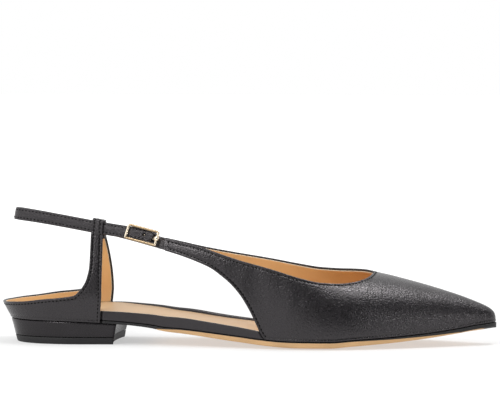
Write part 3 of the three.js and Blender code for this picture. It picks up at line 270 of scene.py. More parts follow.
def underside(x):
    """The height of the sole's underside."""
    return SOLE["rise"](x / SHOE_LENGTH) * SEAT_HEIGHT + SOLE["spring"](x / SHOE_LENGTH) * TOE_SPRING


def bevel_height(x):
    return SOLE["bevel"](x / SHOE_LENGTH) * EDGE_BEVEL


def sole_top(x):
    return underside(x) + SOLE["sole"](x / SHOE_LENGTH) * OUTSOLE_THICKNESS


def feather_height(x):
    """The height at which the upper meets the sole."""
    return sole_top(x) + GAP


def board_top(x, across=0.0):
    """The height of the insole board's edge line; across runs from 0 at the outer edge to 1 at the inner."""
    at = x / SHOE_LENGTH
    return feather_height(x) + SOLE["board"](at) * BOARD_THICKNESS + SOLE["arch"](at) * ARCH_RISE * across


def rounded_end(distance, length, power):
    """The share of the full width at a distance from a rounded end."""
    return 1 if distance >= length else (1 - (1 - max(distance, 0) / length) ** power) ** (1 / power)


def half_width(x, side):
    full = SOLE["outer" if side == OUTER else "inner"](x / SHOE_LENGTH) * BALL_WIDTH
    return full * rounded_end(x - SEAM_REAR, HEEL_ROUND, 2.2) * rounded_end(SHOE_LENGTH - x, TOE_ROUND, 2)


def axis_at(x):
    return SOLE["axis"](x / SHOE_LENGTH) * BALL_WIDTH


class Section:
    """One cross section of the last: its points by the angle, from the feather line up to the ridge."""

    TUCK_RUN = 12

    def __init__(self, x, side):
        at = x / SHOE_LENGTH
        self.x, self.side = x, side
        self.out = LAST["outer" if side == OUTER else "inner"](at) * BALL_WIDTH
        self.low = feather_height(x)
        self.rise = LAST["ridge"](at) * INSTEP_HEIGHT - self.low
        shift = LAST["shift"](at) * BALL_WIDTH * rounded_end(SHOE_LENGTH - x, TOE_ROUND, 2)
        self.axis = axis_at(x) + shift
        self.power = LAST["full"](at)
        self.half = half_width(x, side) + self.out - side * shift
        self.tuck = min(1, max(0, (x - VAMP_START) / self.TUCK_RUN + 1))

    def angle(self, height):
        return math.asin(min(1, max(0, (height - self.low) / self.rise)) ** (self.power / 2))

    def points(self, angles):
        up = np.sin(angles) ** (2 / self.power)
        half = self.half * np.maximum(np.cos(angles), 0) ** (2 / self.power)
        y = self.axis + self.side * (half - self.out * (1 - up) ** 3 * self.tuck)
        return np.stack([np.full_like(up, self.x), y, self.low + self.rise * up], axis=-1)


def unit(v):
    return v / max(np.linalg.norm(v), 1e-9)


def lengths_along(line):
    """The length of a line from its start to each of its points."""
    return np.concatenate([[0], np.cumsum(np.linalg.norm(np.diff(line, axis=0), axis=1))])


def between(value, low=0, high=1):
    return min(high, max(low, value))


# Distances from an edge at which the rows of a fine mesh lie, and the number of rows between both edges
EDGE_ROWS = np.array([0, 0.4, 0.8, 1.15, 1.5, 1.85, 2.3, 3.0, 4.0, 5.5])
INNER_ROWS = 18
# Where the vamp's rows come closer, come closest to meet the throat, and spread again
CLOSER, CLOSEST, SPREADING = 190, 201, 212


def close_to_edges(run, both=True):
    """Shares of a run at which to place rows, close together near its end, or near both of its ends."""
    near = EDGE_ROWS * min(1, run / (2.6 * EDGE_ROWS[-1]))
    far = run - near[::-1]
    start = near if both else near[:1]
    return np.concatenate([start, np.linspace(start[-1], far[0], INNER_ROWS)[1:-1], far]) / run


def vamp_grid(side):
    """Points of one side of the vamp, and whether its faces have to be turned."""
    wing_end = OUTER_WING_END if side == OUTER else INNER_WING_END
    tip = SHOE_LENGTH - TOE_ROUND
    places = np.concatenate([
        wing_end + (VAMP_START - wing_end) * np.linspace(0, 1, 72)[:-1] ** 0.85,
        np.linspace(VAMP_START, CLOSER, 26)[:-1],
        np.linspace(CLOSER, CLOSEST, 16)[:-1],
        THROAT - (THROAT - CLOSEST) * (1 - np.linspace(0, 1, 22)[:-1]) ** 1.8,
        np.linspace(THROAT, SPREADING, 10)[:-1],
        np.linspace(SPREADING, tip, 32)[:-1],
        tip + TOE_ROUND * np.sin(np.linspace(0, 1, 14) * math.pi / 2),
    ])
    grid = []
    for place in places:
        section = Section(place, side)
        at = place / SHOE_LENGTH
        top = section.angle(TOPLINE[side](at) * INSTEP_HEIGHT) if place < THROAT else math.pi / 2
        low = section.angle(CUTOUT[side](at) * INSTEP_HEIGHT) if place < VAMP_START else 0
        angles = np.linspace(low, top, 120)
        line = section.points(angles)
        run = lengths_along(line)
        rows = np.interp(close_to_edges(run[-1]) * run[-1], run, angles)
        points = section.points(rows)
        bulge = 1 - (2 * np.linspace(0, 1, len(rows)) - 1) ** 2
        points[:, 0] -= WING_ROUND * bulge * max(0, 1 - (place - wing_end) / 6) ** 2
        grid.append(points)
    return np.array(grid), side == INNER


def wing_frame(x, side, depth):
    """Place, width and away in the middle of a wing, at a depth behind its outer face."""
    def across(place):
        section, at = Section(place, side), place / SHOE_LENGTH
        heights = [TOPLINE[side](at), CUTOUT[side](at)]
        heights.append(sum(heights) / 2)
        return section.points(np.array([section.angle(h * INSTEP_HEIGHT) for h in heights]))

    upper, lower, middle = across(x)
    along = unit(across(x + 1)[2] - across(x - 1)[2])
    away = unit(np.cross(along, unit(upper - lower)) * -side)
    width = unit(np.cross(away, along) * -side)
    return middle - depth * away, width, away


# Strap: a centripetal curve through its points, with a frame that leans in


def sling_line():
    """Points of the strap's line and its lean at each of them."""
    wings = {OUTER: wing_frame(OUTER_WING_END, OUTER, TAB_DEPTH)[0],
             INNER: wing_frame(INNER_WING_END, INNER, STRAP_DEPTH)[0]}
    points = []
    for at, reach, side, height, _ in SLING:
        end = wings[INNER if side > 0 else OUTER]
        span = ANKLE_WIDTH + (2 * abs(end[1]) - ANKLE_WIDTH) * reach
        level = SLING_HEIGHT + (end[2] - SLING_HEIGHT) * reach
        points.append([at * SHOE_LENGTH, side * span, height * level])
    points = np.array(points)
    leans = [row[-1] for row in SLING]
    ends = np.vstack([2 * points[0] - points[1], points, 2 * points[-1] - points[-2]])
    places, tilts = [], []
    steps = 24
    for i in range(len(points) - 1):
        p0, p1, p2, p3 = ends[i : i + 4]
        d = [max(np.linalg.norm(b - a) ** 0.5, 1e-4) for a, b in ((p0, p1), (p1, p2), (p2, p3))]
        t1 = ((p1 - p0) / d[0] - (p2 - p0) / (d[0] + d[1]) + (p2 - p1) / d[1]) * d[1]
        t2 = ((p2 - p1) / d[1] - (p3 - p1) / (d[1] + d[2]) + (p3 - p2) / d[2]) * d[1]
        for t in np.arange(steps) / steps:
            square, cube = -3 * p1 + 3 * p2 - 2 * t1 - t2, 2 * p1 - 2 * p2 + t1 + t2
            places.append(p1 + t1 * t + square * t * t + cube * t**3)
            tilts.append(leans[i] + (leans[i + 1] - leans[i]) * t)
    return np.array(places + [points[-1]]), np.array(tilts + [leans[-1]])


SLING_POINTS, SLING_LEANS = sling_line()
SLING_RUN = lengths_along(SLING_POINTS)


def sling_frame(run):
    """Place, along, width and away of the strap at a length from its tip."""
    def at(r):
        return np.array([np.interp(r, SLING_RUN, SLING_POINTS[:, k]) for k in range(3)])

    along = unit(at(min(run + 0.6, SLING_RUN[-1])) - at(max(run - 0.6, 0)))
    out = unit(np.cross([0, 0, 1], along))
    up = np.cross(along, out)
    lean = math.radians(np.interp(run, SLING_RUN, SLING_LEANS))
    width = up * math.cos(lean) - out * math.sin(lean)
    away = out * math.cos(lean) + up * math.sin(lean)
    return at(run), along, width, away


def sling_at(x, side):
    """The length from the strap's tip at which it passes x on one side."""
    on_side = np.nonzero(SLING_POINTS[:, 1] * side > 0)[0]
    return SLING_RUN[on_side[np.argmin(np.abs(SLING_POINTS[on_side, 0] - x))]]


# Quarter: the cup, the uprights above its front and the loops in which they end


def cup_rear(height):
    """Where the cup's rear lies: it leans out from the seam to the rim."""
    seam = underside(0)
    return CUP_FLARE * (1 - (height - seam) / (RIM(0) * CUP_HEIGHT - seam))


def cup_front(height, side):
    below = max(0, (CUP_HEIGHT - height) / (CUP_HEIGHT - underside(CUP_LENGTH)))
    return CUP_LENGTH - (INNER_SETBACK if side == INNER else 0) - FRONT_RAKE * below


def quarter_point(x, height, up, side):
    rear = cup_rear(height)
    share = (x - rear) / (cup_front(height, side) - rear)
    seam = SEAM_REAR + (CUP_LENGTH - SEAM_REAR) * share
    return np.array([x, side * half_width(seam, side) * SPREAD(up), height])


def loop_frame(side):
    """The strap's frame in the middle of a loop, and the place where the upright meets the loop."""
    place, along, width, away = sling_frame(sling_at(LOOP_AT[side], side))
    out = STRAP_THICKNESS / 2 + GAP + LOOP_WALL
    down = STRAP_WIDTH / 2 + GAP + LOOP_WALL / 2
    return place, along, width, away, place - down * width + out * away


# Rows of an upright and of each flat side of a loop, and rows of the loop that are sewn
UPRIGHT_ROWS, LOOP_ROWS, LOOP_OVER = 50, 8, 12


def quarter_grids(side, with_loop=True):
    """Points of one side of the cup and of its upright, and whether their faces have to be turned."""
    rim_front = cup_front(CUP_HEIGHT, side)
    start = 1 - SHOULDER_WIDTH / (rim_front - cup_rear(CUP_HEIGHT))
    round_shares = start * (1 - np.cos(np.linspace(0, 1, 44)[:-1] * math.pi / 2) ** 0.9)
    front = start + (1 - start) * np.linspace(0, 1, 17)

    def place_at(share, height):
        return cup_rear(height) + (cup_front(height, side) - cup_rear(height)) * share

    rows = close_to_edges(14, both=False)
    cup = []
    for share in np.concatenate([round_shares, front]):
        low = underside(SEAM_REAR + (CUP_LENGTH - SEAM_REAR) * share)
        high = RIM(place_at(share, CUP_HEIGHT) / SHOE_LENGTH) * CUP_HEIGHT if share < start else CUP_HEIGHT
        heights = low + (high - low) * rows
        cup.append([quarter_point(place_at(share, h), h, h / CUP_HEIGHT, side) for h in heights])
    place, along, width, away, top = loop_frame(side)
    reach = abs(top[1]) / abs(quarter_point(top[0], top[2], 2, side)[1])
    # Over the strap and down behind it
    deep = STRAP_THICKNESS / 2 + GAP + LOOP_WALL
    high = STRAP_WIDTH / 2 + GAP + LOOP_WALL
    turn = np.linspace(0, math.pi, 13)
    bend = high - LOOP_ROUND
    ring = [(w, deep) for w in np.linspace(-high + LOOP_WALL / 2, bend, LOOP_ROWS + 1)[1:]]
    ring += [(bend + LOOP_ROUND * math.sin(t), deep * math.cos(t)) for t in turn[1:]]
    ring += [(w, -deep) for w in np.linspace(bend, -high - LOOP_TAIL, LOOP_ROWS + 1)[1:]]
    upright = []
    for share in (1 - front) / (1 - start):
        column = []
        for t in np.linspace(0, 1, UPRIGHT_ROWS) ** 1.5:
            height = CUP_HEIGHT + (top[2] - CUP_HEIGHT) * t
            x = rim_front + UPRIGHT_LEAN[side] * t**2 - SHOULDER_WIDTH * UPRIGHT(t) * share
            point = quarter_point(x, height, 1 + t, side)
            point[1] *= 1 + (reach - 1) * t**2
            column.append(point)
        if with_loop:
            slide = (column[-1] - top) @ along
            column += [place + (slide - side * LOOP_LEAN * (w + high)) * along + w * width + q * away
                       for w, q in ring]
        upright.append(column)
    return [(np.array(cup), side == INNER), (np.array(upright), side == INNER)]


def weld(grids):
    """Points and faces of one surface made from grids of points that share their borders."""
    points = np.concatenate([grid.reshape(-1, 3) for grid, _ in grids])
    _, first, index = np.unique(np.round(points, 3), axis=0, return_index=True, return_inverse=True)
    index = index.reshape(-1)
    faces, start = [], 0
    for grid, flip in grids:
        n, m = grid.shape[:2]
        ids = index[start : start + n * m].reshape(n, m)
        start += n * m
        quads = np.stack([ids[:-1, :-1], ids[1:, :-1], ids[1:, 1:], ids[:-1, 1:]], axis=-1).reshape(-1, 4)
        if flip:
            quads = quads[:, ::-1]
        for quad in quads.tolist():
            face = [v for i, v in enumerate(quad) if v != quad[i - 1]]
            if len(set(face)) >= 3:
                faces.append(face)
    return points[first], faces


def point_normals(points, faces):
    normals = np.zeros_like(points)
    for face in faces:
        corner = points[face]
        ways = (corner[2] - corner[0], corner[3] - corner[1]) if len(face) == 4 else corner[1:] - corner[0]
        normal = np.cross(ways[0], ways[1])
        normals[face] += normal
    return normals / np.maximum(np.linalg.norm(normals, axis=1), 1e-9)[:, None]


def open_edges(faces):
    """The edges that only one face uses, in the direction in which it runs along them."""
    uses = {}
    for face in faces:
        for a, b in zip(face, face[1:] + face[:1]):
            uses.setdefault((min(a, b), max(a, b)), []).append((a, b))
    return [use[0] for use in uses.values() if len(use) == 1]


RIM_STEPS = 6


def wall(grids, depth, thickness, recess=0.0, groove=0.0, relief=None):
    """A sheet of leather behind the surface of the grids, with round edges. depth is how far behind it the
    sheet's outer face lies, recess how far its edges stand back, and groove how deep the stitches pull it in.
    Returns its points, faces and distances from the edge, and the outer face's own points and faces."""
    points, faces = weld(grids)
    normals = point_normals(points, faces)
    edges = open_edges(faces)
    outward = np.zeros_like(points)
    for a, b in edges:
        out = np.cross(points[b] - points[a], normals[a] + normals[b])
        outward[[a, b]] += unit(out)
    tree = KDTree(3 * len(edges))
    ways = []
    for a, b in edges:
        for share in (0, 1 / 3, 2 / 3):
            tree.insert(points[a] * (1 - share) + points[b] * share, len(ways))
            ways.append(unit(outward[a] * (1 - share) + outward[b] * share))
    tree.balance()
    inset = thickness / 2 + recess
    nearest = [tree.find(p) for p in points]
    distance = np.array([found[2] for found in nearest])
    way = np.array([ways[found[1]] for found in nearest])
    way -= normals * np.sum(way * normals, axis=1)[:, None]
    shift = inset * np.clip(1 - distance / (3 * inset), 0, 1)
    edge_mm = distance + shift
    middle = points - way * shift[:, None]
    height = -depth - groove * np.exp(-(((edge_mm - STITCH_EDGE) / 0.4) ** 2))
    if relief:
        height = height + np.array([relief(p, d) for p, d in zip(middle, edge_mm)])
    outer = middle + normals * height[:, None]
    inner = middle - normals * (depth + thickness)
    count = len(points)
    edge_ids = sorted({v for edge in edges for v in edge})
    slot_of = {v: i for i, v in enumerate(edge_ids)}
    rings = []
    for step in range(1, RIM_STEPS):
        turn = math.pi * step / RIM_STEPS
        centre = (outer[edge_ids] + inner[edge_ids]) / 2
        half = np.linalg.norm(outer[edge_ids] - inner[edge_ids], axis=1)[:, None] / 2
        outs = np.array([unit(outward[v]) for v in edge_ids])
        rings.append(centre + half * (math.cos(turn) * normals[edge_ids] + math.sin(turn) * outs))
    all_points = np.concatenate([outer, inner] + rings)
    all_faces = faces + [[v + count for v in face[::-1]] for face in faces]

    def ring_id(v, step):
        if step == 0:
            return v
        return v + count if step == RIM_STEPS else 2 * count + (step - 1) * len(edge_ids) + slot_of[v]

    for a, b in edges:
        for step in range(RIM_STEPS):
            all_faces.append([ring_id(b, step), ring_id(a, step), ring_id(a, step + 1), ring_id(b, step + 1)])
    edge_values = np.concatenate([edge_mm, edge_mm] + [np.zeros(len(edge_ids))] * (RIM_STEPS - 1))
    return all_points, all_faces, edge_values, (outer, faces)


# Sole layers


def outline_stations(start, end, round_rear, round_front, extra, pitch):
    """Places along the shoe for a layer's cross rows: close together at its rounded ends."""
    places = {start, end, *extra}
    if round_rear:
        places |= {start + HEEL_ROUND * (1 - math.cos(t)) for t in np.linspace(0, math.pi / 2, 22)}
    if round_front:
        places |= {end - TOE_ROUND * (1 - math.cos(t)) for t in np.linspace(0, math.pi / 2, 12)}
    first = start + HEEL_ROUND if round_rear else start
    last = end - TOE_ROUND if round_front else end
    places |= set(np.linspace(first, last, math.ceil((last - first) / pitch) + 1))
    ordered = sorted(p for p in places if start <= p <= end)
    return [p for i, p in enumerate(ordered) if i == 0 or p - ordered[i - 1] > 0.04]


def outline_pair(x):
    """The sole's outline at x: a point and the way out of it on each side."""
    pair = {}
    for side in (OUTER, INNER):
        low, high = max(x - 0.05, SEAM_REAR), min(x + 0.05, SHOE_LENGTH)
        edge = [axis_at(p) + side * half_width(p, side) for p in (low, high, x)]
        run = unit(np.array([high - low, edge[1] - edge[0]]))
        out = np.array([-run[1], run[0]]) * side
        if x <= SEAM_REAR:
            out = np.array([-1.0, 0])
        if x >= SHOE_LENGTH:
            out = np.array([1.0, 0])
        pair[side] = (np.array([x, edge[2]]), out)
    return pair


def slab(stations, levels, across=24, hollow=0.0):
    """A layer of the sole or the heel, from levels between its top and its underside. Each has an inset and a
    height, and may have a slide at its rear and front and a mark. hollow is the depth of the heel's breast.
    Returns points, faces and marks."""
    pairs = [outline_pair(x) for x in stations]
    shares = (1 - np.cos(np.linspace(0, math.pi, across + 1))) / 2
    grids, extra = [], []
    for level in levels:
        grid, marks = [], []
        for i, (x, pair) in enumerate(zip(stations, pairs)):
            along = i / (len(pairs) - 1)
            ends = [pair[side][0] - pair[side][1] * level["inset"](x, side) for side in (OUTER, INNER)]
            row = []
            for share in shares:
                place = ends[0] * (1 - share) + ends[1] * share
                slide = level.get("rear", 0) * (1 - along) + level.get("front", 0) * along
                dent = hollow * (1 - (2 * share - 1) ** 2) * along**2
                row.append([place[0] + slide - dent, place[1], level["height"](x, share)])
            grid.append(row)
            marks.append([level.get("mark", lambda _: 0)(x)] * (across + 1))
        grids.append(np.array(grid))
        extra.append(np.array(marks))
    points = np.concatenate([g.reshape(-1, 3) for g in grids])
    marks = np.concatenate([m.reshape(-1) for m in extra])
    rows, cols = grids[0].shape[:2]

    def vid(level, i, k):
        return (level * rows + i) * cols + k

    faces = []
    last = len(levels) - 1
    for i in range(rows - 1):
        for k in range(cols - 1):
            faces.append([vid(0, i, k), vid(0, i + 1, k), vid(0, i + 1, k + 1), vid(0, i, k + 1)])
            faces.append([vid(last, i, k), vid(last, i, k + 1), vid(last, i + 1, k + 1), vid(last, i + 1, k)])
    for level in range(last):
        lower = level + 1
        for i in range(rows - 1):
            faces.append([vid(level, i, 0), vid(lower, i, 0), vid(lower, i + 1, 0), vid(level, i + 1, 0)])
            faces.append([vid(level, i + 1, across), vid(lower, i + 1, across), vid(lower, i, across),
                          vid(level, i, across)])
        for k in range(across):
            end = rows - 1
            faces.append([vid(level, end, k), vid(lower, end, k), vid(lower, end, k + 1),
                          vid(level, end, k + 1)])
            faces.append([vid(level, 0, k + 1), vid(lower, 0, k + 1), vid(lower, 0, k), vid(level, 0, k)])
    _, first, index = np.unique(np.round(points, 4), axis=0, return_index=True, return_inverse=True)
    index = index.reshape(-1)
    clean = []
    for face in faces:
        face = [int(index[v]) for v in face]
        face = [v for i, v in enumerate(face) if v != face[i - 1]]
        if len(set(face)) >= 3:
            clean.append(face)
    keep = sorted({v for face in clean for v in face})
    renumber = {v: i for i, v in enumerate(keep)}
    return points[first][keep], [[renumber[v] for v in face] for face in clean], marks[first][keep]


def round_edge(inset, height, radius, steps, top):
    """Levels of a rounded edge; top says whether it is the upper or the lower edge of a layer."""
    levels = []
    for step in range(steps + 1):
        turn = step / steps * math.pi / 2
        inwards = radius * (1 - math.sin(turn)) if top else radius * (1 - math.cos(turn))
        drop = radius * (1 - math.cos(turn)) if top else -radius * (1 - math.sin(turn))
        levels.append({
            "inset": lambda x, side, inwards=inwards: inset(x, side) + inwards,
            "height": lambda x, share, drop=drop: height(x, share) - drop,
        })
    return levels


# Pieces and finishes


def make_piece(name, points, faces, finish, nodes=(), marks=None):
    """One piece of the part in metres, with a finish, the solids it stands for and marks at its
    points."""
    mesh = bpy.data.meshes.new(name)
    mesh.from_pydata(((np.asarray(points) - ORIGIN) * MM).tolist(), [], faces)
    mesh.shade_smooth()
    for key, values in (marks or {}).items():
        data = mesh.attributes.new(key, "FLOAT", "POINT").data
        data.foreach_set("value", np.asarray(values, dtype=np.float32))
    mesh.materials.append(finishes()[finish])
    piece = bpy.data.objects.new(name, mesh)
    bpy.context.scene.collection.objects.link(piece)
    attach(piece, "root")
    if nodes:
        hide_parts(*nodes)
    return piece


def tube_faces(rings, sides, closed=False):
    """Faces of a tube through rings of points, with flat ends unless it is closed to a loop."""
    faces = []
    for i in range(rings if closed else rings - 1):
        after = (i + 1) % rings
        for k in range(sides):
            turn = (k + 1) % sides
            faces.append([i * sides + k, after * sides + k, after * sides + turn, i * sides + turn])
    if not closed:
        faces.append(list(range(sides)))
        faces.append([(rings - 1) * sides + k for k in range(sides)][::-1])
    return faces


def ribbon(frames, thickness, edge=0.55, steps=5, lift=None):
    """A flat strip with round edges along frames (place, width, away, half its width). lift raises its face."""
    rings = []
    thin = thickness / 2
    for place, width, away, half in frames:
        soft = min(edge, half * 0.6)
        ring = []
        for corner, (w, a) in enumerate(((1, 1), (-1, 1), (-1, -1), (1, -1))):
            for step in range(steps + 1):
                turn = math.pi / 2 * (corner + step / steps)
                ring.append((w * (half - soft) + soft * math.cos(turn),
                             a * (thin - soft) + soft * math.sin(turn)))
            wide = [(half - soft) * (1 - 2 * s) for s in (0.08, 0.2, 0.35, 0.5, 0.65, 0.8, 0.92)]
            if corner == 0:
                ring += [(w2, thin + (lift(w2, half) if lift else 0)) for w2 in wide]
            if corner == 2:
                ring += [(-w2, -thin) for w2 in wide]
        rings.append([place + width * w + away * a for w, a in ring])
    sides = len(rings[0])
    return np.array(rings).reshape(-1, 3), tube_faces(len(rings), sides)


def stitches(name, rows):
    """Threads laid along rows; each row is a list of points with their normals."""
    size = sizes()
    pitch, length, radius = size["stitch_pitch"], size["stitch_length"], size["thread"]
    shape = []
    for t in (-1, -0.85, -0.5, 0, 0.5, 0.85, 1):
        thick = radius * max(1 - abs(t) ** 3, 0.05) ** 0.5
        height = radius * (0.35 - 0.9 * t * t)
        shape.append([(t * length / 2, thick * math.cos(a), thick * 0.8 * math.sin(a) + height)
                      for a in np.arange(7) / 7 * 2 * math.pi])
    shape = np.array(shape)
    rings, sides = shape.shape[:2]
    faces = tube_faces(rings, sides)
    shape = shape.reshape(-1, 3)
    points, all_faces = [], []
    for line, normals in rows:
        run = lengths_along(line)
        count = max(1, int(run[-1] / pitch))
        for i in range(count):
            middle = (i + 0.5) * run[-1] / count
            at = [np.array([np.interp(r, run, line[:, k]) for k in range(3)])
                  for r in (max(middle - length / 2, 0), middle, min(middle + length / 2, run[-1]))]
            normal = unit(np.array([np.interp(middle, run, normals[:, k]) for k in range(3)]))
            along = unit(at[2] - at[0])
            normal = unit(normal - along * (normal @ along))
            across = np.cross(normal, along)
            start = len(points) * len(shape)
            points.append(at[1] + shape[:, :1] * along + shape[:, 1:2] * across + shape[:, 2:] * normal)
            all_faces += [[v + start for v in face] for face in faces]
    make_piece(name, np.concatenate(points), all_faces, "thread")


def inside_edge(line, surface, distance):
    """The row at a distance inside an edge of a surface: its points and normals on that surface."""
    points, faces = surface
    tree = BVHTree.FromPolygons(points.tolist(), faces)
    line = np.array(line)
    tangents = np.gradient(line, axis=0)
    normals = np.array([tree.find_nearest(p)[1] for p in line])
    sideways = np.cross(normals, tangents)
    sideways /= np.maximum(np.linalg.norm(sideways, axis=1), 1e-9)[:, None]
    middle = len(line) // 2
    reach = [tree.find_nearest(line[middle] + sign * 3 * sideways[middle])[3] for sign in (1, -1)]
    sign = 1 if reach[0] < reach[1] else -1
    found = [tree.find_nearest(p + sign * distance * s) for p, s in zip(line, sideways)]
    return np.array([f[0] for f in found]), np.array([f[1] for f in found])


FINISHES = {}


def nodes_of(name):
    """The node tree and the shader of a new finish."""
    finish = bpy.data.materials.new(name)
    FINISHES[name] = finish
    finish.use_nodes = True
    return finish.node_tree, finish.node_tree.nodes["Principled BSDF"]


def feed(tree, node, **sources):
    """Link other nodes' sockets to a node's inputs, or set the inputs to values."""
    for key, source in sources.items():
        socket = node.inputs[key.replace("_", " ")]
        if hasattr(source, "node"):
            tree.links.new(source, socket)
        else:
            socket.default_value = source


def add(tree, kind, links=(), **values):
    """A shader node with its settings and input values, linked from other nodes' sockets."""
    node = tree.nodes.new(kind)
    for key, value in values.items():
        if hasattr(node, key):
            setattr(node, key, value)
        else:
            node.inputs[key.replace("_", " ")].default_value = value
    for socket, source in links:
        tree.links.new(source, node.inputs[socket])
    return node


def ramp(tree, source, low, high, start, end, **settings):
    """The source's range from low to high mapped to the range from start to end."""
    node = add(tree, "ShaderNodeMapRange", [("Value", source)], **settings)
    feed(tree, node, From_Min=low, From_Max=high, To_Min=start, To_Max=end)
    return node.outputs["Result"]


def mixed(tree, factor, first, second):
    """The colour between two colours or colour sockets."""
    node = tree.nodes.new("ShaderNodeMix")
    node.data_type = "RGBA"
    tree.links.new(factor, node.inputs["Factor"])
    for socket, colour in (("A", first), ("B", second)):
        target = [s for s in node.inputs if s.name == socket and s.type == "RGBA"][0]
        if hasattr(colour, "node"):
            tree.links.new(colour, target)
        else:
            target.default_value = (*colour, 1)
    return [s for s in node.outputs if s.type == "RGBA"][0]


def shaded(colour, share):
    return tuple(c * share for c in colour)


def place_in(tree):
    return add(tree, "ShaderNodeTexCoord").outputs["Object"]


def noise_in(tree, scale, detail):
    """Noise in the piece's own space, with its scale in waves to the metre."""
    return add(tree, "ShaderNodeTexNoise", [("Vector", place_in(tree))], Scale=scale, Detail=detail).outputs[0]


def mark_in(tree, name):
    """The mark that a mesh carries at its points."""
    return add(tree, "ShaderNodeAttribute", attribute_name=name).outputs["Fac"]


def bump_in(tree, height, strength, distance):
    return add(tree, "ShaderNodeBump", [("Height", height)], Strength=strength, Distance=distance * MM)


def leather(name, colour, rough, grain, cell, pebble=0.0, shine=0.5, cloudy=0.25, edge=None, sewn=False,
            breast=None):
    """Leather with a grain of cells, cloudy colour and uneven gloss. pebble is the strength of its coarser grain,
    edge the colour of a cut edge, sewn paints shade into the groove in which the stitches lie, and breast is the
    shine of the heel's breast."""
    tree, bsdf = nodes_of(name)
    wave = 1 / (cell * MM)
    cells = add(tree, "ShaderNodeTexVoronoi", [("Vector", place_in(tree))], feature="F1", Scale=wave).outputs[0]
    fine = noise_in(tree, 0.6 * wave, 4.0)
    height = add(tree, "ShaderNodeMath", [(0, cells), (1, fine), (2, fine)], operation="MULTIPLY_ADD")
    bump = bump_in(tree, height.outputs[0], grain, 0.12)
    if pebble:
        lumps = noise_in(tree, 0.7 * wave, 2.0)
        feed(tree, bump, Normal=bump_in(tree, lumps, pebble, 0.35).outputs[0])
    cloud = ramp(tree, noise_in(tree, 55.0, 3.0), 0.3, 0.7, 0, 1)
    tone = mixed(tree, cloud, shaded(colour, 1 - cloudy), shaded(colour, 1 + cloudy))
    if edge:
        tone = mixed(tree, ramp(tree, mark_in(tree, "edge_mm"), 0.1, 0.35, 1, 0), tone, edge)
    if sewn:
        # painted shade: the leather is coloured darker in the groove along the stitches, where shade falls
        mark = mark_in(tree, "edge_mm")
        outer = ramp(tree, mark, STITCH_EDGE - 0.45, STITCH_EDGE - 0.15, 0, 1)
        inner = ramp(tree, mark, STITCH_EDGE + 0.15, STITCH_EDGE + 0.45, 1, 0)
        groove = add(tree, "ShaderNodeMath", [(0, outer), (1, inner)], operation="MULTIPLY").outputs[0]
        tone = mixed(tree, groove, tone, shaded(colour, 0.25))
    if breast is not None:
        shine = ramp(tree, mark_in(tree, "breast"), 0, 1, shine, breast)
    feed(tree, bsdf, Base_Color=tone, Roughness=ramp(tree, fine, 0.3, 0.7, rough - 0.07, rough + 0.07),
         Normal=bump.outputs[0], Specular_IOR_Level=shine, Specular_Tint=(1.0, 0.94, 0.97, 1))


def finishes():
    """The finishes of the shoe, made once."""
    if "black_leather" in FINISHES:
        return FINISHES
    colours = bpy.context.scene.shoe_colours
    black, tan, sole, thread, gold = (tuple(getattr(colours, key))
                                      for key in ("leather", "lining", "sole", "thread", "metal"))
    cut = tuple(colours.cut_edge)
    leather("black_leather", black, 0.3, 0.34, 0.6, pebble=0.7, sewn=True, shine=0.6)
    leather("strap_leather", black, 0.36, 0.45, 0.6, pebble=1.0, shine=0.6)
    leather("wrapped_edge", black, 0.45, 0.15, 0.5, pebble=0.2, shine=0.6)
    leather("heel_leather", black, 0.26, 0.1, 0.5, pebble=0.06, shine=0.4, breast=0.1)
    leather("tan_lining", tan, 0.55, 0.12, 0.35, edge=cut, cloudy=0.05)
    leather("sock_leather", tuple(colours.sock), 0.5, 0.1, 0.35, edge=cut, cloudy=0.04)

    tree, bsdf = nodes_of("sole_leather")
    fibre, broad = noise_in(tree, 900.0, 5.0), noise_in(tree, 70.0, 3.0)
    tone = mixed(tree, ramp(tree, broad, 0.3, 0.7, 0, 1), shaded(sole, 0.9), shaded(sole, 1.08))
    # the top of the sole's edge is coloured near black, over the share of the edge that the mesh's mark gives
    tone = mixed(tree, ramp(tree, mark_in(tree, "dark_edge_share"), -0.06, 0.06, 0, 1), tone, shaded(black, 0.8))
    feed(tree, bsdf, Base_Color=tone, Normal=bump_in(tree, fibre, 0.2, 0.1).outputs[0],
         Roughness=ramp(tree, fibre, 0.3, 0.7, 0.5, 0.66))

    tree, bsdf = nodes_of("heel_rubber")
    speck = noise_in(tree, 1500.0, 3.0)
    tone = mixed(tree, ramp(tree, speck, 0.3, 0.7, 0, 1), shaded(black, 0.7), shaded(black, 1.1))
    feed(tree, bsdf, Base_Color=tone, Normal=bump_in(tree, speck, 0.25, 0.08).outputs[0], Roughness=0.6)

    tree, bsdf = nodes_of("thread")
    tone = mixed(tree, noise_in(tree, 4000.0, 2.0), shaded(thread, 0.7), shaded(thread, 1.3))
    feed(tree, bsdf, Base_Color=tone, Roughness=0.8, Specular_IOR_Level=0.1)

    tree, bsdf = nodes_of("gold_metal")
    wear = noise_in(tree, 900.0, 3.0)
    tone = mixed(tree, ramp(tree, wear, 0.35, 0.65, 0, 1), shaded(gold, 0.95), shaded(gold, 1.03))
    # painted reflection: where the mark shade is 1, on the frame's long bars, the gold is coloured dark brown in
    # place of the dark strap that they reflect
    tone = mixed(tree, ramp(tree, mark_in(tree, "shade"), 0, 1, 0, 0.85), tone, (0.2, 0.125, 0.05))
    feed(tree, bsdf, Base_Color=tone, Roughness=ramp(tree, wear, 0.3, 0.7, 0.2, 0.28), Metallic=1.0)
    return FINISHES


# Soft creases of the vamp: side, middle, direction (degrees from the shoe's length), length, width and depth
CREASES = (
    (OUTER, 168, 26, 70, 16, 7, 0.09), (OUTER, 158, 22, 62, 18, 8, 0.08),
    (OUTER, 177, 22, 75, 14, 7, 0.07), (OUTER, 128, 38, 40, 16, 6, 0.08),
    (INNER, 166, 26, 110, 16, 7, 0.09), (INNER, 178, 24, 105, 15, 8, 0.08),
    (INNER, 130, 36, 140, 16, 6, 0.08),
)


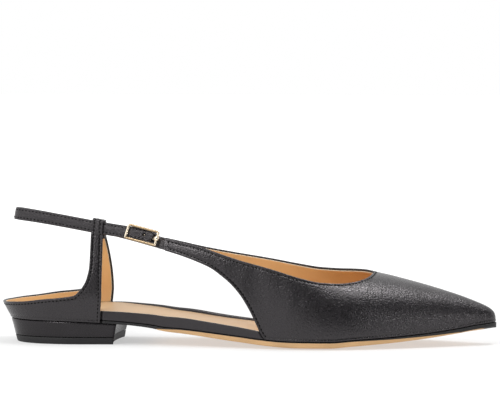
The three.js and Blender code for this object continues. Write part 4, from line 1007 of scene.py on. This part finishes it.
def vamp_relief(point, edge_mm):
    """The height of the vamp's creases and soft bumps at a point."""
    fade = min(1, edge_mm / 6)
    height = 0.10 * noise.noise(Vector(point / 14)) + 0.05 * noise.noise(Vector(point / 5))
    for side, x, z, turn, length, width, depth in CREASES:
        if point[1] * side < 0:
            continue
        along, across = math.cos(math.radians(turn)), math.sin(math.radians(turn))
        dx, dz = point[0] - x, point[2] - z
        u, v = dx * along + dz * across, -dx * across + dz * along
        height -= depth * math.exp(-((u / length) ** 2)) * (
            math.exp(-((v / width * 2) ** 2)) - 0.5 * math.exp(-(((v - width) / width * 2) ** 2)))
    return height * fade


class ShoeSizes(bpy.types.PropertyGroup):
    leather: FloatProperty(name="Leather", description="Thickness of the outer leather",
                           default=1.05 * MM, unit="LENGTH", subtype="DISTANCE")
    lining: FloatProperty(name="Lining", description="Thickness of the lining leather",
                          default=0.6 * MM, unit="LENGTH", subtype="DISTANCE")
    stitch_pitch: FloatProperty(name="Stitch pitch", description="From one stitch to the next",
                                default=2.1 * MM, unit="LENGTH", subtype="DISTANCE")
    stitch_length: FloatProperty(name="Stitch length", description="Length of the thread that shows",
                                 default=1.45 * MM, unit="LENGTH", subtype="DISTANCE")
    thread: FloatProperty(name="Thread", description="Radius of the thread",
                          default=0.28 * MM, unit="LENGTH", subtype="DISTANCE")
    groove: FloatProperty(name="Groove", description="How deep the stitches pull the leather in",
                          default=0.25 * MM, unit="LENGTH", subtype="DISTANCE")


class ShoeColours(bpy.types.PropertyGroup):
    leather: FloatVectorProperty(name="Leather", description="Smooth outer leather",
                                 default=(0.0085, 0.0078, 0.009), subtype="COLOR", min=0, max=1)
    lining: FloatVectorProperty(name="Lining", description="Lining leather",
                                default=(0.8, 0.46, 0.19), subtype="COLOR", min=0, max=1)
    sock: FloatVectorProperty(name="Sock", description="Leather sock on the insole",
                              default=(0.54, 0.36, 0.2), subtype="COLOR", min=0, max=1)
    cut_edge: FloatVectorProperty(name="Cut edge", description="Cut edge of lining and sock",
                                  default=(0.8, 0.66, 0.48), subtype="COLOR", min=0, max=1)
    sole: FloatVectorProperty(name="Sole", description="Natural sole leather",
                              default=(0.62, 0.38, 0.18), subtype="COLOR", min=0, max=1)
    thread: FloatVectorProperty(name="Thread", description="Sewing thread",
                                default=(0.004, 0.004, 0.004), subtype="COLOR", min=0, max=1)
    metal: FloatVectorProperty(name="Metal", description="Plated buckle",
                               default=(0.98, 0.85, 0.66), subtype="COLOR", min=0, max=1)


def sizes():
    """The sizes of the panel in millimetres."""
    group = bpy.context.scene.shoe_sizes
    return {key: getattr(group, key) / MM for key in group.bl_rna.properties.keys()
            if key not in ("rna_type", "name")}


def edge_line(side, table_of, start, end, count):
    """Points of an upper or lower edge of the vamp between two places."""
    line = []
    for x in np.linspace(start, end, count):
        section = Section(x, side)
        angle = section.angle(table_of[side](x / SHOE_LENGTH) * INSTEP_HEIGHT)
        line.append(section.points(np.array([angle]))[0])
    return line


class SHOE_OT_vamp(bpy.types.Operator):
    """Cut the vamp and its lining and sew their edges"""

    bl_idname = "shoe.vamp"
    bl_label = "Vamp"

    def execute(self, context):
        size = sizes()
        grids = [vamp_grid(OUTER), vamp_grid(INNER)]
        points, faces, edge, surface = wall(grids, 0, size["leather"], groove=size["groove"],
                                            relief=vamp_relief)
        make_piece("vamp_leather", points, faces, "black_leather", ["vamp"], {"edge_mm": edge})
        points, faces, edge, _ = wall([(g[::2], f) for g, f in grids], size["leather"] + LINING_GAP,
                                      size["lining"], recess=0.8)
        make_piece("vamp_lining", points, faces, "tan_lining", marks={"edge_mm": edge})
        start = {OUTER: OUTER_WING_END + 1.5, INNER: INNER_WING_END + 1.5}
        top = edge_line(OUTER, TOPLINE, start[OUTER], THROAT, 260)
        top += edge_line(INNER, TOPLINE, start[INNER], THROAT, 260)[-2::-1]
        rows = [inside_edge(resample(top, 0.5), surface, STITCH_EDGE)]
        for side in (OUTER, INNER):
            low = edge_line(side, CUTOUT, start[side], VAMP_START, 220)
            rows.append(inside_edge(resample(low, 0.5), surface, STITCH_EDGE))
            end = np.linspace(low[0], top[0] if side == OUTER else top[-1], 12)[2:-2]
            rows.append(inside_edge(end, surface, 0.3))
        stitches("vamp_stitches", rows)
        return {"FINISHED"}


def resample(line, step):
    """A line of points at even steps."""
    line = np.array(line)
    run = lengths_along(line)
    places = np.linspace(0, run[-1], max(2, int(run[-1] / step)))
    return np.stack([np.interp(places, run, line[:, k]) for k in range(3)], axis=-1)


class SHOE_OT_quarter(bpy.types.Operator):
    """Cut the heel cup with its uprights and loops, line it and sew its edges"""

    bl_idname = "shoe.quarter"
    bl_label = "Heel quarter"

    def execute(self, context):
        size = sizes()
        grids = [grid for side in (OUTER, INNER) for grid in quarter_grids(side)]
        points, faces, edge, surface = wall(grids, 0, size["leather"], groove=size["groove"])
        make_piece("quarter_leather", points, faces, "black_leather", ["heel_quarter"],
                   {"edge_mm": edge})
        grids = [grid for side in (OUTER, INNER) for grid in quarter_grids(side, with_loop=False)]
        points, faces, edge, _ = wall(grids, size["leather"] + LINING_GAP, size["lining"], recess=1.0)
        make_piece("quarter_lining", points, faces, "tan_lining", marks={"edge_mm": edge})
        rim, rows = [], []
        for side in (OUTER, INNER):
            (cup, _), (upright, _) = quarter_grids(side)
            shoulder = len(cup) - len(upright)
            over = UPRIGHT_ROWS + LOOP_OVER
            rear = list(cup[: shoulder + 1, -1]) + list(upright[0][1:over])
            rim.append(rear)
            front = list(cup[-1][1:]) + list(upright[-1][1:over])
            rows.append(inside_edge(resample(front, 0.5), surface, STITCH_EDGE))
        rows.append(inside_edge(resample(rim[0][::-1] + rim[1][1:], 0.5), surface, STITCH_EDGE))
        stitches("quarter_stitches", rows)
        return {"FINISHED"}


def strap_matrix():
    """The strap's frame at the buckle in metres: x forward, y up the strap and z away from the ankle."""
    place, along, width, away = sling_frame(sling_at(BUCKLE_AT, OUTER))
    axes = Matrix((-along, width, away)).transposed().to_4x4()
    return Matrix.Translation((place - ORIGIN) * MM) @ axes


def buckle_matrix():
    drop = Matrix.Translation((0, -BUCKLE_DROP * MM, 0))
    return strap_matrix() @ drop @ Matrix.Rotation(-BUCKLE_TURN, 4, "Z")


def punch(piece, matrix):
    """Cut the hole for the prong through a strap."""
    mesh = bpy.data.meshes.new("punch")
    rings = [[(HOLE_RADIUS * math.cos(a) * MM, HOLE_RADIUS * math.sin(a) * MM, z * MM)
              for a in np.arange(24) / 24 * 2 * math.pi] for z in (-3, 3)]
    mesh.from_pydata([p for ring in rings for p in ring], [], [face[::-1] for face in tube_faces(2, 24)])
    tool = bpy.data.objects.new("punch", mesh)
    tool.matrix_world = matrix
    bpy.context.scene.collection.objects.link(tool)
    bpy.context.view_layer.update()
    cut = piece.modifiers.new("hole", "BOOLEAN")
    cut.operation, cut.solver, cut.object = "DIFFERENCE", "EXACT", tool
    cut_mesh = bpy.data.meshes.new_from_object(piece.evaluated_get(bpy.context.evaluated_depsgraph_get()))
    piece.modifiers.clear()
    piece.data = cut_mesh
    bpy.data.objects.remove(tool)


class SHOE_OT_strap(bpy.types.Operator):
    """Lay the strap round the ankle and sew its edges, and set the tab behind the wing"""

    bl_idname = "shoe.strap"
    bl_label = "Strap and tab"

    def execute(self, context):
        length = SLING_RUN[-1]
        tip = STRAP_WIDTH / 2
        frames = []

        def strap_frame(run):
            """The strap's line, pressed on to the lining of the inner wing where it is sewn down."""
            place, _, width, away = sling_frame(run)
            return place + SEWN_PRESS * between((run - length + SEWN_RUN) / SEWN_EASE) * away, width, away

        runs = list(tip * (1 - np.cos(np.linspace(0.12, 1, 14) * math.pi / 2)))
        runs += list(np.linspace(tip, length, int(length / 1.2))[1:])
        for run in runs:
            place, width, away = strap_frame(run)
            half = tip * math.sin(math.acos(max(0, 1 - run / tip))) if run < tip else tip
            frames.append((place, width, away, half))

        def lift(w, half):
            """The strap's face is full in its middle and pulled in by the stitches."""
            groove = math.exp(-(((abs(w) - (half - STRAP_STITCH_EDGE)) / 0.35) ** 2))
            return 0.12 * (1 - (w / half) ** 2 - groove)

        points, faces = ribbon(frames, STRAP_THICKNESS, lift=lift)
        strap = make_piece("strap_band", points, faces, "strap_leather",
                           ["sling_strap"])
        punch(strap, strap_matrix() @ Matrix.Translation((PRONG_REACH * MM, 0, 0)))
        frames = []
        for run in np.linspace(TAB_FOLD, 0, 7):
            place, _, across, away = sling_frame(run)
            frames.append((place - TAB_BEHIND * away, across, away, STRAP_WIDTH / 2 - 0.4))
        for x in np.linspace(TAB_START + 1.6, TAB_END, 14):
            place, across, away = wing_frame(x, OUTER, TAB_DEPTH)
            frames.append((place, across, away, TAB_WIDTH / 2))
        points, faces = ribbon(frames, TAB_THICKNESS, edge=0.4)
        make_piece("tab_strip", points, faces, "strap_leather", ["buckle_tab"])
        rows = []
        for edge in (-1, 1):
            for face in (1, -1):
                line, normals = [], []
                for run in np.arange(tip + 1, length, 0.6):
                    place, width, away = strap_frame(run)
                    line.append(place + edge * (STRAP_WIDTH / 2 - STRAP_STITCH_EDGE) * width
                                + face * (STRAP_THICKNESS / 2 - 0.02) * away)
                    normals.append(face * away)
                rows.append((np.array(line), np.array(normals)))
        stitches("strap_stitches", rows)
        return {"FINISHED"}


class SHOE_OT_sole(bpy.types.Operator):
    """Build the outsole, the wrapped insole board and the sock"""

    bl_idname = "shoe.sole"
    bl_label = "Sole and insole"

    def execute(self, context):
        seat = WALL + GAP

        def sole_inset(x, side):
            return seat if x < CUP_LENGTH else -SOLE_MARGIN * SOLE["bevel"](x / SHOE_LENGTH)

        stations = outline_stations(SEAM_REAR, SHOE_LENGTH, True, True, [CUP_LENGTH - 0.05, CUP_LENGTH], 2.2)
        levels = round_edge(sole_inset, lambda x, share: sole_top(x), EDGE_ROUND, 3, True)
        drop = 6

        def side_height(share):
            return lambda x, _: ((sole_top(x) - EDGE_ROUND) * (1 - share)
                                 + (underside(x) + bevel_height(x)) * share)

        for step in range(1, drop + 1):
            levels.append({"inset": sole_inset, "height": side_height(step / drop)})
        for inset, most, left in ((1, 0.06, 0.8), (3, 0.18, 0.5), (6, 0.34, 0.2), (9, 0.5, 0), (10, 0.56, 0)):
            levels.append({
                "inset": lambda x, side, inset=inset, most=most: sole_inset(x, side)
                + min(inset, most * half_width(x, side)),
                "height": lambda x, share, left=left: underside(x) + left * bevel_height(x),
            })
        for n, level in enumerate(levels):
            depth = between((n - 2) / drop) if n < 4 + drop else 1.6
            level["mark"] = lambda x, depth=depth: DARK_EDGE_SHARE(x / SHOE_LENGTH) - depth
        points, faces, marks = slab(stations, levels)
        make_piece("sole_leather", points, faces, "sole_leather", ["outsole"],
                   {"dark_edge_share": marks})

        board_step = VAMP_START - FOOT_RUN

        def inset_below(height, share=1):
            """The board's edge: out to the leaning wall of the cup, and back behind the vamp's edge."""
            def inset(x, side):
                if x < CUP_LENGTH - (CUP_SHORT if side == INNER else 0):
                    rear = max(0, 1 - (x - SEAM_REAR) / CUP_FILL_RUN)
                    return seat - (CUP_FILL + CUP_FILL_REAR * rear**2) * share**CUP_FILL_POWER
                if x < board_step - 8:
                    return 0
                edge = CUTOUT[side](x / SHOE_LENGTH) * INSTEP_HEIGHT
                level = height(x, 0 if side == OUTER else 1)
                return seat * between((level + 0.6 - edge) / 0.6) if x < VAMP_START else seat

            return inset

        board_inset = inset_below(board_top)

        def sock_inset(x, side):
            """The board's wrapped edge shows only in the cut-out: elsewhere the sock reaches the lining."""
            bare = between((x - CUP_LENGTH + 4) / 3) * between((VAMP_START + 3 - x) / 5)
            return board_inset(x, side) + 0.2 + (SOCK_EDGE[side] - 0.2) * bare

        def sock_top(x, share):
            """The sock lies a little hollow, level with the board's outer edge and below its inner edge."""
            soft = share * share * (3 - 2 * share)
            drop = SOCK_LEVEL * (1 - soft) - SOCK_DROP(x / SHOE_LENGTH) * soft
            return board_top(x, share) + drop - INSOLE_DISH * 4 * share * (1 - share)

        def bed(x, share):
            return sock_top(x, share) - SOCK_THICKNESS + 0.05

        extra = [*np.add.outer((CUP_LENGTH - CUP_SHORT, CUP_LENGTH), (-0.05, 0)).ravel(),
                 *np.arange(board_step - 1.5, VAMP_START + 0.4, 0.3)]
        stations = outline_stations(SEAM_REAR, SHOE_LENGTH, True, True, extra, 2.2)
        levels = [
            {"inset": lambda x, side: sock_inset(x, side) + 1.5, "height": bed},
            {"inset": lambda x, side: sock_inset(x, side) - 0.15, "height": bed},
            {"inset": lambda x, side: sock_inset(x, side) - 0.3,
             "height": lambda x, share: bed(x, share) * 0.5 + (board_top(x, share) - 0.12) * 0.5},
            {"inset": lambda x, side: 0.5 * (board_inset(x, side) + 0.4 + sock_inset(x, side) - 0.3),
             "height": lambda x, share: board_top(x, share) - 0.03},
        ]
        levels += round_edge(board_inset, board_top, 0.6, 6, True)
        for rest in (0.75, 0.5, 0.25):
            def part_way(x, share, rest=rest):
                return board_top(x, share) * rest + feather_height(x) * (1 - rest)

            levels.append({"inset": inset_below(part_way, rest), "height": part_way})

        def foot(x, share):
            return feather_height(x)

        levels += round_edge(inset_below(foot, 0), foot, 0.5, 3, False)
        points, faces, _ = slab(stations, levels)
        make_piece("insole_wrapped_board", points, faces, "wrapped_edge",
                   ["insole_board"])

        levels = round_edge(sock_inset, sock_top, 0.25, 3, True)
        levels.append({"inset": sock_inset, "height": lambda x, share: sock_top(x, share) - SOCK_THICKNESS})
        for n, level in enumerate(levels):
            level["mark"] = lambda x, n=n: float(n == 0)
        points, faces, marks = slab(stations, levels, across=30)
        make_piece("insole_sock", points, faces, "sock_leather", ["sock_lining"],
                   {"edge_mm": marks})
        return {"FINISHED"}


class SHOE_OT_heel(bpy.types.Operator):
    """Build the wrapped heel block and its top lift"""

    bl_idname = "shoe.heel"
    bl_label = "Heel"

    def execute(self, context):
        stations = outline_stations(SEAM_REAR, HEEL_BREAST, True, False, [], 1.6)

        def level(height, extra, shift=0.0):
            lean = 1 - height / SEAT_HEIGHT
            return {
                "inset": lambda x, side: SIDE_LEAN * lean + extra,
                "height": lambda x, share: height + shift * (underside(x) - SEAT_HEIGHT),
                "rear": (HEEL_PITCH - SIDE_LEAN) * lean,
                "front": -BREAST_LEAN * lean,
            }

        top = SEAT_HEIGHT - LIFT_GAP
        low = LIFT_THICKNESS + LIFT_GAP
        levels = [level(top - down, extra, 1) for down, extra in ((0, 1.2), (0.1, 0.6), (0.35, 0.2), (0.8, 0))]
        levels += [level(top + (low - top) * s, 0.1 * math.sin(s * math.pi), 1 - s) for s in (0.25, 0.5, 0.75)]
        levels += [level(low + up, extra) for up, extra in ((0.5, 0), (0.15, 0.12), (0, 0.45))]
        for part in levels:
            part["mark"] = lambda x: between((x - HEEL_BREAST + BREAST_MARK) / BREAST_MARK)
        points, faces, marks = slab(stations, levels, hollow=BREAST_HOLLOW)
        make_piece("heel_block", points, faces, "heel_leather", ["heel"],
                   {"breast": marks})
        levels = [level(height, extra) for height, extra in (
            (LIFT_THICKNESS - LIFT_GAP, 0.3), (LIFT_THICKNESS - 0.35, 0.02), (2, 0.03), (0.5, 0.02),
            (0.12, 0.2), (0, 0.45))]
        points, faces, _ = slab(stations, levels, hollow=BREAST_HOLLOW)
        make_piece("heel_top_lift", points, faces, "heel_rubber", ["top_lift"])
        return {"FINISHED"}


def rounded_path(length, width, radius, steps=7):
    """Points round a rectangle with rounded corners, and the way out of it at each point."""
    path = []
    for corner, (a, b) in enumerate(((1, 1), (-1, 1), (-1, -1), (1, -1))):
        for step in range(steps + 1):
            turn = math.pi / 2 * (corner + step / steps)
            out = (math.cos(turn), math.sin(turn))
            place = (a * (length / 2 - radius) + radius * out[0], b * (width / 2 - radius) + radius * out[1])
            path.append((place, out))
    return path


class SHOE_OT_buckle(bpy.types.Operator):
    """Bend the buckle's frame and prong"""

    bl_idname = "shoe.buckle"
    bl_label = "Buckle"

    def execute(self, context):
        matrix = buckle_matrix()
        wire = BUCKLE_WIRE
        rise = STRAP_THICKNESS / 2 + GAP + wire / 2

        def at(x, y, z):
            return np.array(matrix @ Vector((x * MM, y * MM, z * MM))) / MM + ORIGIN

        rings, shade = [], []
        for (x, y), (ox, oy) in rounded_path(BUCKLE_LENGTH - wire, BUCKLE_WIDTH - wire, BUCKLE_CORNER):
            ring = []
            broad = 1.18 + 0.08 * abs(ox) ** 2
            for k in range(20):
                turn = 2 * math.pi * k / 20
                c, s = math.cos(turn), math.sin(turn)
                power = WIRE_SQUARENESS
                bulk = broad * wire / 2 / (abs(c) ** power + abs(s) ** power) ** (1 / power)
                ring.append(at(x + ox * c * bulk, y + oy * c * bulk, rise + s * bulk))
            rings.append(ring)
            # shade is 1 on the long bars and 0 on the end bars: it carries the painted dark reflection of the strap
            shade += [1 - abs(ox) ** 2] * 20
        points = np.array(rings).reshape(-1, 3)
        make_piece("buckle_ring", points, tube_faces(len(rings), 20, closed=True), "gold_metal",
                   ["buckle_frame"], {"shade": shade})
        bar = (BUCKLE_LENGTH - wire) / 2
        ball = []
        for i in range(17):
            polar = math.pi * i / 16
            for k in range(24):
                turn = 2 * math.pi * k / 24
                out = EYE_RADIUS * max(math.sin(polar), 0.02)
                ball.append(at(bar - EYE_SETBACK + out * math.cos(turn), EYE_RADIUS * 0.95 * math.cos(polar),
                               rise + out * math.sin(turn)))
        faces = tube_faces(17, 24)
        tip, tab = ((matrix.inverted() @ Vector((place - ORIGIN) * MM))[0] / MM
                    for place in (SLING_POINTS[0], wing_frame(TAB_START, OUTER, TAB_DEPTH)[0]))
        passage = (tip + tab) / 2
        under = -STRAP_THICKNESS / 2 - GAP - PIN_RADIUS
        # Down between the strap's tip and the tab, back under the strap and up through its hole
        route = resample([
            (bar - 1, 0, rise - 0.8), (passage + 0.3, 0, 0.4), (passage, 0, -0.6),
            (passage - 0.3, 0, under + 0.2), (passage - 1, 0, under), (PRONG_REACH + 1.2, BUCKLE_DROP, under),
            (PRONG_REACH + 0.3, BUCKLE_DROP, under + 0.3), (PRONG_REACH, BUCKLE_DROP, -0.6),
            (PRONG_REACH, BUCKLE_DROP, STRAP_THICKNESS / 2 - PIN_RADIUS),
        ], 0.25)
        start = len(ball)
        for i, point in enumerate(route):
            along = unit(route[min(i + 1, len(route) - 1)] - route[max(i - 1, 0)])
            side = unit(np.cross(along, (0, 1, 0)))
            other = np.cross(along, side)
            thick = PIN_RADIUS * (0.6 if i == len(route) - 1 else 1)
            for k in range(12):
                turn = 2 * math.pi * k / 12
                ball.append(at(*(point + thick * (math.cos(turn) * side + math.sin(turn) * other))))
        faces += [[v + start for v in face] for face in tube_faces(len(route), 12)]
        make_piece("buckle_prong_pin", np.array(ball), faces, "gold_metal", ["buckle_prong"])
        return {"FINISHED"}


CAMERA_PLACE, CAMERA_LENS = (0.28115, -1.58248, 0.17111), 209.66
CAMERA_YAW, CAMERA_PITCH = math.radians(6.5), math.radians(3.35)
FLOOR_REACH = 6
# Where the room is dark: a direction, and the range of its cosine over which the light fades
DARK_WAY, DARK_RANGE = (0.54, -0.67, 0.51), (0.56, 0.86)
LIGHTS = (
    ("softbox_top", (0.4, 0.02, 1.0), (0.15, 0, 0), (0.6, 0.09), 4.6),
    ("softbox_front", (-0.5, -1.0, 1.3), (0.05, 0, 0.02), (0.5, 0.4), 9),
    ("strip_side", (0.7, -0.45, 0.22), (0.03, 0, 0.01), (0.04, 0.3), 0.6),
)


class SHOE_OT_stage(bpy.types.Operator):
    """Set the camera, the floor and the studio light"""

    bl_idname = "shoe.stage"
    bl_label = "Stage"

    def execute(self, context):
        scene = context.scene
        yaw, pitch = CAMERA_YAW, CAMERA_PITCH
        look = Vector((-math.sin(yaw) * math.cos(pitch), math.cos(yaw) * math.cos(pitch), -math.sin(pitch)))
        right = Vector((math.cos(yaw), math.sin(yaw), 0))
        up = right.cross(look)
        camera = bpy.data.objects.new("camera", bpy.data.cameras.new("camera"))
        camera.data.lens, camera.data.sensor_width = CAMERA_LENS, 36
        camera.data.clip_end = 50
        frame_axes = Matrix((right, up, -look)).transposed().to_4x4()
        camera.matrix_world = Matrix.Translation(CAMERA_PLACE) @ frame_axes
        scene.collection.objects.link(camera)
        scene.camera = camera

        mesh = bpy.data.meshes.new("floor")
        corners = ((-1, -1), (1, -1), (1, 1), (-1, 1))
        mesh.from_pydata([(a * FLOOR_REACH, b * FLOOR_REACH, 0) for a, b in corners], [], [[0, 1, 2, 3]])
        floor = bpy.data.objects.new("floor", mesh)
        # the floor glows, as painted light: its glow rises from half strength near the shoe to full strength
        # further out, so that the floor reads white while the shoe's shadow stays visible
        tree, bsdf = nodes_of("glowing_floor")
        middle = add(tree, "ShaderNodeVectorMath", [(0, place_in(tree))], operation="SUBTRACT")
        middle.inputs[1].default_value = (0.1, 0, 0)
        away = add(tree, "ShaderNodeVectorMath", [(0, middle.outputs[0])], operation="LENGTH")
        feed(tree, bsdf, Base_Color=(0.42, 0.42, 0.42, 1), Roughness=0.9, Specular_IOR_Level=0.1,
             Emission_Color=(1, 1, 1, 1), Emission_Strength=ramp(tree, away.outputs["Value"], 0.2, 0.8, 0.5, 1.0))
        mesh.materials.append(FINISHES["glowing_floor"])
        scene.collection.objects.link(floor)

        world = bpy.data.worlds.new("studio")
        world.use_nodes = True
        tree = world.node_tree
        way = add(tree, "ShaderNodeTexCoord").outputs["Generated"]
        room = add(tree, "ShaderNodeVectorMath", [(0, way)], operation="DOT_PRODUCT")
        room.inputs[1].default_value = DARK_WAY
        shade = ramp(tree, room.outputs["Value"], *DARK_RANGE, 0, 1, interpolation_type="SMOOTHSTEP")
        tone = mixed(tree, shade, (1, 1, 1), (0.03, 0.03, 0.03))
        feed(tree, tree.nodes["Background"], Color=tone, Strength=1.0)
        scene.world = world
        for name, place, aim, size, power in LIGHTS:
            lamp = bpy.data.lights.new(name, "AREA")
            lamp.shape, lamp.size, lamp.size_y, lamp.energy = "RECTANGLE", size[0], size[1], power
            holder = bpy.data.objects.new(name, lamp)
            holder.location = place
            holder.rotation_euler = (Vector(aim) - Vector(place)).to_track_quat("-Z", "Y").to_euler()
            scene.collection.objects.link(holder)
        scene.view_settings.view_transform = "Standard"
        return {"FINISHED"}


class SHOE_PT_panel(bpy.types.Panel):
    bl_idname = "SHOE_PT_panel"
    bl_label = "Slingback shoe"
    bl_space_type = "VIEW_3D"
    bl_region_type = "UI"
    bl_category = "Shoe"

    def draw(self, context):
        for group in (context.scene.shoe_sizes, context.scene.shoe_colours):
            for key in group.bl_rna.properties.keys():
                if key not in ("rna_type", "name"):
                    self.layout.prop(group, key)
        for operator in OPERATORS:
            self.layout.operator(operator.bl_idname)


OPERATORS = (SHOE_OT_stage, SHOE_OT_vamp, SHOE_OT_quarter, SHOE_OT_strap, SHOE_OT_sole, SHOE_OT_heel,
             SHOE_OT_buckle)
CLASSES = (ShoeSizes, ShoeColours, *OPERATORS, SHOE_PT_panel)


def register():
    for made in CLASSES:
        bpy.utils.register_class(made)
    bpy.types.Scene.shoe_sizes = PointerProperty(type=ShoeSizes)
    bpy.types.Scene.shoe_colours = PointerProperty(type=ShoeColours)


def unregister():
    del bpy.types.Scene.shoe_colours
    del bpy.types.Scene.shoe_sizes
    for made in reversed(CLASSES):
        bpy.utils.unregister_class(made)


def main():
    register()
    bpy.ops.shoe.stage()
    bpy.ops.shoe.vamp()
    bpy.ops.shoe.quarter()
    bpy.ops.shoe.strap()
    bpy.ops.shoe.sole()
    bpy.ops.shoe.heel()
    bpy.ops.shoe.buckle()


if __name__ == "__main__":
    main()
